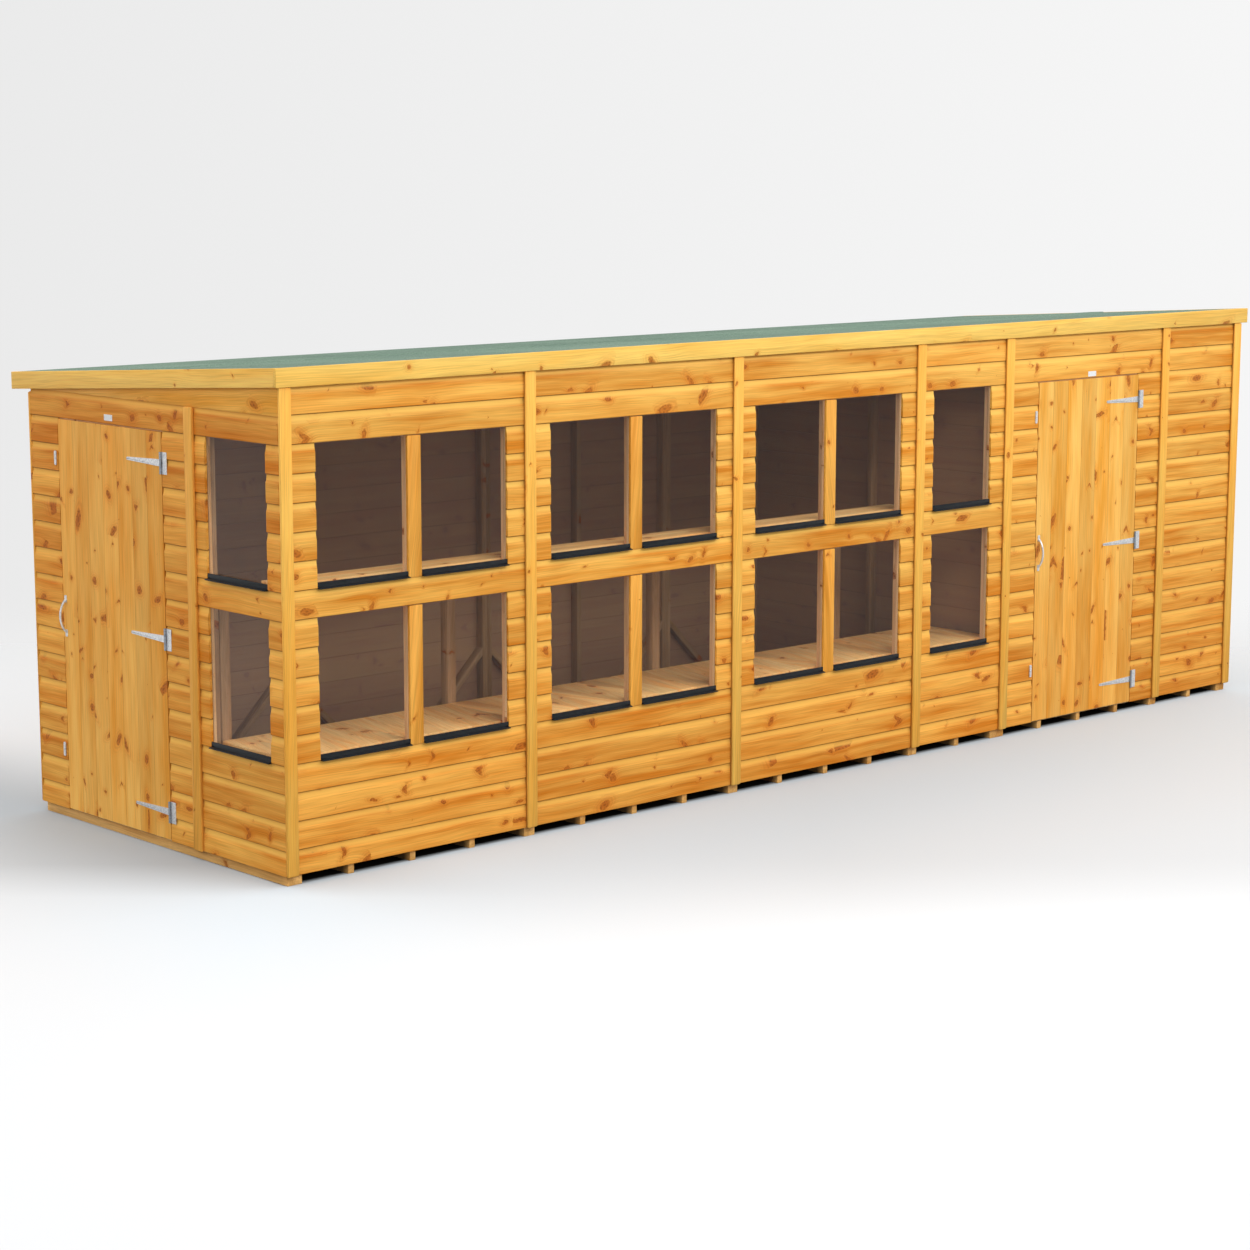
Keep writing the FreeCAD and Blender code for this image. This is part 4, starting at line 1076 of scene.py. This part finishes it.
DOOR_SECTION = plain_board(PITCH - DOOR_JOINT, DOOR_THICK, DOOR_EASE)
UPRIGHT = section_set("upright", [extruded("door_board", DOOR_SECTION, DOOR_CUTS, upright_board)])
for seed, (side, start) in enumerate(DOORS.items(), DOOR_SEED):
    spots = [((start + PITCH*k + DOOR_JOINT/2, 0.0, DOOR_LOW), DOOR_HIGH - DOOR_LOW, 0)
             for k in range(DOOR_BOARDS)]
    piece = lay(f"{side}_door_boards_dressed", spots, UPRIGHT, UPWARD, DOOR_BOW, seed, WOODS["door"], side)
    settle(piece, f"{side}_door", "door_boards", f"{side}_door_boards")
    print(side, "door:", DOOR_BOARDS, "boards")

# %% [markdown]
# ## Panes, roof and floor
# Panes, felt, sheets and hinge pins are plain flat or round solids. They could be dressed
# like the timbers, but their edges are hidden or too thin to show, so they keep their CAD
# solids and only take a finish.

# %% Finish the nodes that stay
for node, finish in (("window_panes", GLASS), ("roof_felt", FELT), ("roof_sheets", SHEET),
                     ("floor_sheets", SHEET), ("hinge_pins", SHADED_ZINC)):
    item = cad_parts[node]
    item.data.materials.clear()
    item.data.materials.append(finish)
print("panes, felt, sheets and pins finished")

# %% [markdown]
# ## Hinges
# Each door hangs on three T hinges: a long tapered strap on the door, a small plate on the
# frame, and a barrel in three knuckles between them. They could be boxes and cylinders with
# bevels, but the taper and the notched plate are easier to draw. So a fitting is a stack of
# rings with faces between. A plate is its outline three times over: at the back, just short
# of the front, and once more at the front, drawn in a little so that the rim is eased. A
# knuckle is a tube about the hinge line.

# %% Fitting helpers
AXIS = DOOR_WIDTH + DOOR_GAP/2
PIN_OUT = 0.0055
PIN_BORE = 0.0032
BARREL = 0.005
LEAF = 0.0022
BARREL_SIDES = 16
RIM_EASE = 0.0005
SOFT_EASE = 0.0008
BARREL_EASE = 0.0006
HINGES = (0.159, 0.861, 1.563)


def turns(count):
    return [2*math.pi*step/count for step in range(count)]


def disc(across, depth, up, size, count):
    """A round ring of points that faces out of the wall."""
    return [(across + size*math.cos(turn), depth, up + size*math.sin(turn)) for turn in turns(count)]


def box_corners(across, up, half):
    return [(across - half[0], up - half[1]), (across + half[0], up - half[1]),
            (across + half[0], up + half[1]), (across - half[0], up + half[1])]


def rounded(corners, radius, steps=4):
    """An outline with every corner turned into a small curve."""
    points = []
    for index, corner in enumerate(corners):
        middle = Vector(corner)
        ends = [middle + (Vector(corners[near % len(corners)]) - middle).normalized()*radius
                for near in (index - 1, index + 1)]
        for part in (step/steps for step in range(steps + 1)):
            points.append(ends[0]*(1 - part)**2 + middle*2*part*(1 - part) + ends[1]*part**2)
    return points


def plate(outline, front, back, ease=RIM_EASE):
    """Rings of a flat plate between two depths, from its back to its eased front."""
    middle = sum(outline, Vector((0.0, 0.0)))/len(outline)
    drawn_in = [point + (middle - point).normalized()*ease for point in outline]
    levels = ((outline, back), (outline, front + ease), (drawn_in, front))
    return [[(point.x, depth, point.y) for point in points] for points, depth in levels]


def barrel(low, high):
    """Rings of a tube about the hinge line, closed on itself."""
    eased = BARREL - BARREL_EASE
    levels = [(low, PIN_BORE), (low, eased), (low + BARREL_EASE, BARREL), (high - BARREL_EASE, BARREL),
              (high, eased), (high, PIN_BORE), (low, PIN_BORE)]
    return [[(AXIS + size*math.cos(turn), -PIN_OUT + size*math.sin(turn), level)
             for turn in turns(BARREL_SIDES)] for level, size in levels]


def fitting(name, stacks, finish, body, *nodes):
    """Stand every stack of rings on its wall and settle them as one piece."""
    bm = bmesh.new()
    for rings, wall, start in stacks:
        place = WALLS[wall] @ Matrix.Translation((start, 0, 0))
        skin(bm, [[tuple(place @ Vector(point)) for point in ring] for ring in rings])
    mesh = kept(bm, name)
    mesh.materials.append(finish)
    settle(new_piece(name, mesh), body, "zinc_steel", *nodes)
    print(name, len(stacks), "stacks,", len(mesh.polygons), "faces")


print("fittings can be made")

# %% Hinges
STRAP = 0.250
STRAP_ROOT = 0.0145
STRAP_TIP = 0.006
STRAP_ROUND = 0.007
STRAP_BARREL = 0.0155
PLATE_WIDE = 0.038
PLATE_HALF = 0.044
PLATE_SLOT = 0.016
PLATE_RELIEF = 0.0055
PLATE_ROUND = 0.002


def strap(height):
    tip = AXIS - STRAP
    corners = [(tip, height - STRAP_TIP), (AXIS, height - STRAP_ROOT),
               (AXIS, height + STRAP_ROOT), (tip, height + STRAP_TIP)]
    return plate(rounded(corners, STRAP_ROUND), -LEAF, 0.0)


def hinge_plate(height):
    far = AXIS + PLATE_WIDE
    relief = AXIS + PLATE_RELIEF
    corners = [(AXIS, height - PLATE_HALF), (far, height - PLATE_HALF), (far, height + PLATE_HALF),
               (AXIS, height + PLATE_HALF), (AXIS, height + PLATE_SLOT), (relief, height + PLATE_SLOT),
               (relief, height - PLATE_SLOT), (AXIS, height - PLATE_SLOT)]
    return plate(rounded(corners, PLATE_ROUND), -LEAF, 0.0)


plates = []
fixed = []
for side, start in DOORS.items():
    straps = [(strap(height), side, start) for height in HINGES]
    turning = [(barrel(height - STRAP_BARREL, height + STRAP_BARREL), side, start) for height in HINGES]
    for height in HINGES:
        plates.append((hinge_plate(height), side, start))
        fixed.append((barrel(height - PLATE_HALF, height - PLATE_SLOT), side, start))
        fixed.append((barrel(height + PLATE_SLOT, height + PLATE_HALF), side, start))
    fitting(f"{side}_straps_dressed", straps, ZINC, f"{side}_door", f"{side}_hinge_straps")
    fitting(f"{side}_strap_knuckles", turning, SHADED_ZINC, f"{side}_door")
fitting("hinge_plates_dressed", plates, ZINC, "shed", "hinge_plates")
fitting("plate_knuckles", fixed, SHADED_ZINC, "shed")

# %% [markdown]
# ## Handles
# A door is pulled by a bow of round bar with two flattened feet. A curve with a bevel could
# draw it, but a bevel keeps one section all the way. Here rings stand along an arc, each a
# little wider and thinner toward the feet, and the same stack of faces joins them.

# %% Handles
HANDLE_IN = 0.020
HANDLE_MIDDLE = 0.866
BOW_RADIUS = 0.10388
BOW_BEHIND = 0.07488
BOW_HALF = 42.8
BOW_STEPS = 24
BOW_SIDES = 12
BAR = 0.005
BAR_WIDER = 0.35
BAR_THINNER = 0.40
FOOT_OUT = 0.072
FOOT_HALF = (0.008, 0.015)
FOOT_ROUND = 0.005
FOOT_THICK = 0.003


def bow():
    """Rings along the bow: round in the middle, flatter toward the feet."""
    rings = []
    for step in range(BOW_STEPS + 1):
        share = 2*step/BOW_STEPS - 1
        turn = math.radians(BOW_HALF)*share
        wide = BAR*(1 + BAR_WIDER*share**4)
        thin = BAR*(1 - BAR_THINNER*share**4)
        ring = []
        for side in turns(BOW_SIDES):
            out = BOW_RADIUS + thin*math.sin(side)
            ring.append((HANDLE_IN + wide*math.cos(side), BOW_BEHIND - out*math.cos(turn),
                         HANDLE_MIDDLE + out*math.sin(turn)))
        rings.append(ring)
    return rings


def foot(height):
    corners = box_corners(HANDLE_IN, height, FOOT_HALF)
    return plate(rounded(corners, FOOT_ROUND), -FOOT_THICK, 0.0, SOFT_EASE)


for side, start in DOORS.items():
    stacks = [bow(), foot(HANDLE_MIDDLE - FOOT_OUT), foot(HANDLE_MIDDLE + FOOT_OUT)]
    fitting(f"{side}_handle_dressed", [(rings, side, start) for rings in stacks], ZINC,
            f"{side}_door", f"{side}_handle")

# %% [markdown]
# ## Turn buttons and blank plates
# Two small zinc bars beside each door turn on a screw to hold it shut, and a white plate sits
# above the door. Each could be a box with a bevel. The rings of a plate do the same and keep
# the rim as fine as on the hinges. A button is a piece of its own, because it turns.

# %% Turn buttons and blank plates
BUTTON_OUT = -0.022
BUTTON_HEIGHTS = {"upper": 1.522, "lower": 0.296}
BUTTON_HALF = (0.0075, 0.030)
BUTTON_ROUND = 0.0074
BUTTON_ROUND_STEPS = 6
BUTTON_FRONT = 0.005
BUTTON_BACK = 0.001
COLLAR = 0.0055
COLLAR_THICK = 0.0007
SHANK = 0.0025
SHANK_SIDES = 12
SCREW_SEAT = 0.0053
BLANK_PLATES = {"left": (0.601, 1.715), "front": (4.809, 1.707)}
BLANK_HALF = (0.030, 0.0125)
BLANK_ROUND = 0.002
BLANK_THICK = 0.0015


def button(height):
    corners = box_corners(BUTTON_OUT, height, BUTTON_HALF)
    return plate(rounded(corners, BUTTON_ROUND, BUTTON_ROUND_STEPS), -BUTTON_FRONT, -BUTTON_BACK, SOFT_EASE)


def shank(height):
    """A collar on the wall and the plain part of the screw that the button turns on."""
    levels = ((0.0, COLLAR), (-COLLAR_THICK, COLLAR), (-COLLAR_THICK, SHANK), (-SCREW_SEAT, SHANK))
    return [disc(BUTTON_OUT, depth, height, size, SHANK_SIDES) for depth, size in levels]


shanks = []
for side, start in DOORS.items():
    for level, height in BUTTON_HEIGHTS.items():
        fitting(f"{side}_{level}_button_dressed", [(button(height), side, start)], ZINC,
                f"{side}_{level}_button", f"{side}_{level}_turn_button")
        shanks.append((shank(height), side, start))
fitting("turn_button_shanks", shanks, ZINC, "shed", "turn_button_screws")
blanks = [(plate(rounded(box_corners(*centre, BLANK_HALF), BLANK_ROUND), -BLANK_THICK, 0.0), side, 0.0)
          for side, centre in BLANK_PLATES.items()]
fitting("blank_plates", blanks, ENAMEL, "shed")

# %% [markdown]
# ## Screws
# Every fitting is fixed with small cross-head screws. Their crosses could be a dark mark in a
# shader, but a real cut catches the light as the view moves. A Boolean cuts the cross into a
# single domed head, and one small tree puts that head wherever a fitting has a hole and turns
# every copy by a random angle.

# %% One screw head
DOME = ((1.0, 0.0), (1.0, 0.08), (0.88, 0.22), (0.62, 0.32), (0.32, 0.36))
CROSS_LONG = 0.58
CROSS_WIDE = 0.13
CROSS_DEEP = 0.16
HEAD_SIDES = 14


def screw_unit():
    bm = bmesh.new()
    skin(bm, [disc(0.0, -out, 0.0, size, HEAD_SIDES) for size, out in DOME])
    head = new_piece("screw_head", kept(bm, "screw_head"))
    bm = bmesh.new()
    outline = [(1, 1), (1, 2), (-1, 2), (-1, 1), (-2, 1), (-2, -1), (-1, -1), (-1, -2), (1, -2),
               (1, -1), (2, -1), (2, 1)]
    steps = {1: CROSS_WIDE, 2: CROSS_LONG, -1: -CROSS_WIDE, -2: -CROSS_LONG}
    skin(bm, [[(steps[x], depth, steps[z]) for x, z in outline] for depth in (-CROSS_DEEP, -1.0)])
    cutter = new_piece("cross", kept(bm, "cross"))
    cut = head.modifiers.new("Cross", "BOOLEAN")
    cut.operation = "DIFFERENCE"
    cut.solver = "EXACT"
    cut.object = cutter
    ready = bpy.context.evaluated_depsgraph_get()
    mesh = bpy.data.meshes.new_from_object(head.evaluated_get(ready))
    bpy.data.objects.remove(head)
    bpy.data.objects.remove(cutter)
    return bpy.data.objects.new("screw_unit", mesh)


SCREW = screw_unit()
print("screw head:", len(SCREW.data.polygons), "faces")

# %% The screw tree
def screw_tree():
    tree, keys, given, result = node_tree("Screws", (
        ("Points", "NodeSocketGeometry"), ("Unit", "NodeSocketObject"),
        ("Seed", "NodeSocketInt"), ("Finish", "NodeSocketMaterial")))
    angle = add(tree, "FunctionNodeRandomValue", {"Seed": given["Seed"]}, data_type="FLOAT")
    feed(tree, 2*math.pi, angle.inputs[3])
    unit = add(tree, "GeometryNodeObjectInfo", {"Object": given["Unit"]}).outputs["Geometry"]
    placed = add(tree, "GeometryNodeInstanceOnPoints", {
        "Points": given["Points"], "Instance": unit,
        "Rotation": vector(tree, 0.0, angle.outputs[1], 0.0), "Scale": named(tree, "reach", "FLOAT")})
    real = add(tree, "GeometryNodeRealizeInstances", {"Geometry": placed.outputs[0]}).outputs[0]
    painted = add(tree, "GeometryNodeSetMaterial", {"Geometry": real, "Material": given["Finish"]})
    tree.links.new(painted.outputs[0], result[0])
    return tree, keys


SCREW_TREE, SCREW_KEYS = screw_tree()
print("screw tree:", len(SCREW_TREE.nodes), "nodes")

# %% The holes it fills
STRAP_HOLES = (0.040, 0.125, 0.215)
PLATE_HOLE = 0.026
PLATE_HOLES = (-0.032, 0.0, 0.032)
FOOT_HOLE = 0.0815
BLANK_HOLE = 0.024
SCREW_SIZE = 0.0042
FOOT_SCREW = SCREW_SIZE*0.8
BUTTON_SCREW = 0.0055
BLANK_SCREW = 0.0024
SCREW_CRISP = 25


def door_holes(start):
    holes = [((start + AXIS - away, -LEAF, height), SCREW_SIZE) for height in HINGES for away in STRAP_HOLES]
    return holes + [((start + HANDLE_IN, -FOOT_THICK, HANDLE_MIDDLE + way*FOOT_HOLE), FOOT_SCREW)
                    for way in (-1, 1)]


def wall_holes(side, start):
    holes = [((start + AXIS + PLATE_HOLE, -LEAF, height + up), SCREW_SIZE)
             for height in HINGES for up in PLATE_HOLES]
    holes += [((start + BUTTON_OUT, -SCREW_SEAT, height), BUTTON_SCREW)
              for height in BUTTON_HEIGHTS.values()]
    across, up = BLANK_PLATES[side]
    return holes + [((across + way*BLANK_HOLE, -BLANK_THICK, up), BLANK_SCREW) for way in (-1, 1)]


for seed, (side, start) in enumerate(DOORS.items()):
    for body, holes in ((f"{side}_door", door_holes(start)), ("shed", wall_holes(side, start))):
        mesh = grown(cloud([(place, size, 0) for place, size in holes]), SCREW_TREE, SCREW_KEYS,
                     {"Unit": SCREW, "Seed": seed, "Finish": ZINC})
        mesh.transform(WALLS[side])
        settle(new_piece(f"{side}_screws_on_{body}", mesh), body, "zinc_steel", crisp=SCREW_CRISP)
        print(body, len(holes), "screws")

# %% [markdown]
# ## Studio floor
# The floor is pale and takes the shed's shadow. Its colour adds painted shade: white in front,
# a soft grey by the shed and toward the back, a little cool there to balance the warm light off
# the boards, a painted shadow beside the left end and near black beneath the shed.
# A bowed backdrop could hide the far edge, but it would stand in the way of a view from
# behind. Here the floor's shader clears away to the background, so no horizon shows. It also
# throws less light back than it shows, which a Light Path node makes possible.

# %% Floor shader
FLOOR_SEEN = (0.745, 0.752, 0.76, 1.0)
# Painted shade by the shed, cool to balance the warm light off the boards.
FLOOR_NEAR = (0.715, 0.775, 0.82, 1.0)
FLOOR_BOUNCE = (0.07, 0.073, 0.078, 1.0)
VIEW_WAY = (0.675, 0.738, 0.0)
SIDE_WAY = (0.738, -0.675, 0.0)
NEAR_REACH = 1.5
# Painted shade: the floor greys toward the back, more on the right.
GREY = 0.80
GREY_AHEAD = (-3.6, -2.1)
GREY_ACROSS = (-2.0, 0.5)
# Painted shadow beside the left end of the shed.
BESIDE_SHADE = 0.64
BESIDE_REACH = 1.6
BESIDE_AHEAD = (-2.8, -2.3)
BESIDE_ACROSS = (-0.8, 0.2)
CLEAR_AHEAD = (-0.3, 4.5)


def seen_ray(tree):
    """1 for rays that show the background: straight from the eye, off gloss or through glass."""
    path = add(tree, "ShaderNodeLightPath", {}).outputs
    seen = most(tree, path["Is Camera Ray"], path["Is Glossy Ray"])
    return most(tree, seen, path["Is Transmission Ray"])


def dot(tree, first, second):
    return add(tree, "ShaderNodeVectorMath", {0: first, 1: second}, operation="DOT_PRODUCT").outputs["Value"]


def floor_shader():
    made, tree, surface = material("studio floor")
    place = object_place(tree)
    ahead = dot(tree, place, VIEW_WAY)
    # Painted shade: near black beneath the shed.
    dark = under_shed(tree, place)
    seen = seen_ray(tree)
    near = fit(tree, off_shed(tree, place), 0.0, NEAR_REACH, 1.0, 0.0, smooth=True)
    level = fit(tree, dot(tree, place, SIDE_WAY), *GREY_ACROSS, 1.0, GREY)
    grey = fit(tree, ahead, *GREY_AHEAD, 1.0, level, smooth=True)
    beside = beside_shed(tree, place)
    shade = fit(tree, beside, 0.0, BESIDE_REACH, BESIDE_SHADE, 1.0)
    share = product(tree, fit(tree, beside, *BESIDE_ACROSS, 0.0, 1.0, smooth=True),
                    fit(tree, ahead, *BESIDE_AHEAD, 0.0, 1.0))
    grey = product(tree, grey, fit(tree, share, 0.0, 1.0, 1.0, shade))
    shown = times(tree, blend(tree, near, FLOOR_SEEN, FLOOR_NEAR), grey)
    plain = blend(tree, seen, FLOOR_BOUNCE, shown)
    coat(tree, surface, blend(tree, dark, plain, SHADE_COLOUR), 1.0, 0.0)
    clear = add(tree, "ShaderNodeBsdfTransparent", {}).outputs[0]
    behind = fit(tree, ahead, *CLEAR_AHEAD, 0.0, 1.0, smooth=True)
    gone = product(tree, product(tree, behind, seen), less(tree, 1.0, dark))
    whole = mix_shaders(tree, gone, surface.outputs[0], clear)
    tree.links.new(whole, tree.nodes["Material Output"].inputs["Surface"])
    return made


print("floor can be shaded")

# %% Lay the floor
FLOOR_SIZE = 80.0


def floor_mesh():
    half = FLOOR_SIZE/2
    corners = [(-half, -half, 0), (half, -half, 0), (half, half, 0), (-half, half, 0)]
    mesh = bpy.data.meshes.new("studio_floor")
    mesh.from_pydata(corners, [], [(0, 1, 2, 3)])
    mesh.materials.append(floor_shader())
    return mesh


floor = new_piece("studio_floor", floor_mesh())
print("floor ready:", FLOOR_SIZE, "m wide")

# %% [markdown]
# ## Background and key light
# The photo has a pale, even background and soft light with hardly a hard shadow. A sky
# picture could light it, but a plain world is easier to steer. It lights the shed from all
# round at one level and shows another to the eye, a little darker at the left. One long soft
# light in front, above the eaves, brightens the top of the wall and gives the scoops and
# strips their shadows.

# %% Background and key light
SKY_LIGHT = 1.25
SKY_LEFT = 0.82
SKY_RIGHT = 0.93
SKY_EDGE = 0.25
KEY_POWER = 122.0
KEY_LONG = 9.0
KEY_HIGH = 1.0
KEY_PLACE = Vector((0.8, -4.6, 3.8))
KEY_AIM = Vector((0.8, -0.9, 1.2))
world = bpy.data.worlds.new("studio")
world.use_nodes = True
scene.world = world
sky = world.node_tree
way = add(sky, "ShaderNodeTexCoord", {}).outputs["Generated"]
shown = fit(sky, dot(sky, way, SIDE_WAY), -SKY_EDGE, SKY_EDGE, SKY_LEFT, SKY_RIGHT)
behind = add(sky, "ShaderNodeBackground", {"Color": WHITE, "Strength": shown}).outputs[0]
light = sky.nodes["Background"]
feed(sky, WHITE, light.inputs["Color"])
feed(sky, SKY_LIGHT, light.inputs["Strength"])
whole = mix_shaders(sky, seen_ray(sky), light.outputs[0], behind)
sky.links.new(whole, sky.nodes["World Output"].inputs["Surface"])
lamp = bpy.data.lights.new("key", "AREA")
lamp.energy = KEY_POWER
lamp.shape = "RECTANGLE"
lamp.size = KEY_LONG
lamp.size_y = KEY_HIGH
key = new_piece("key", lamp)
key.location = KEY_PLACE
key.rotation_euler = (KEY_AIM - KEY_PLACE).to_track_quat("-Z", "Y").to_euler()
print("background and key light ready")

# %% [markdown]
# ## Camera
# The camera stands where the photo was taken from. It could be placed by eye, but its place,
# turn and lens were solved from the corners of the shed, so the two pictures lie on each
# other. The Standard view keeps the colours as they are mixed.

# %% Camera and view
CAMERA_PLACE = (-9.10465, -9.49353, 2.76694)
CAMERA_TILT = 80.52
CAMERA_TURN = -42.42
CAMERA_LENS = 81.63
CAMERA_SENSOR = 36.0
camera = bpy.data.cameras.new("photo_view")
camera.sensor_width = CAMERA_SENSOR
camera.lens = CAMERA_LENS
eye = new_piece("photo_view", camera)
eye.location = CAMERA_PLACE
eye.rotation_euler = (math.radians(CAMERA_TILT), 0, math.radians(CAMERA_TURN))
scene.camera = eye
scene.view_settings.view_transform = "Standard"
print("camera set, lens", CAMERA_LENS, "mm")
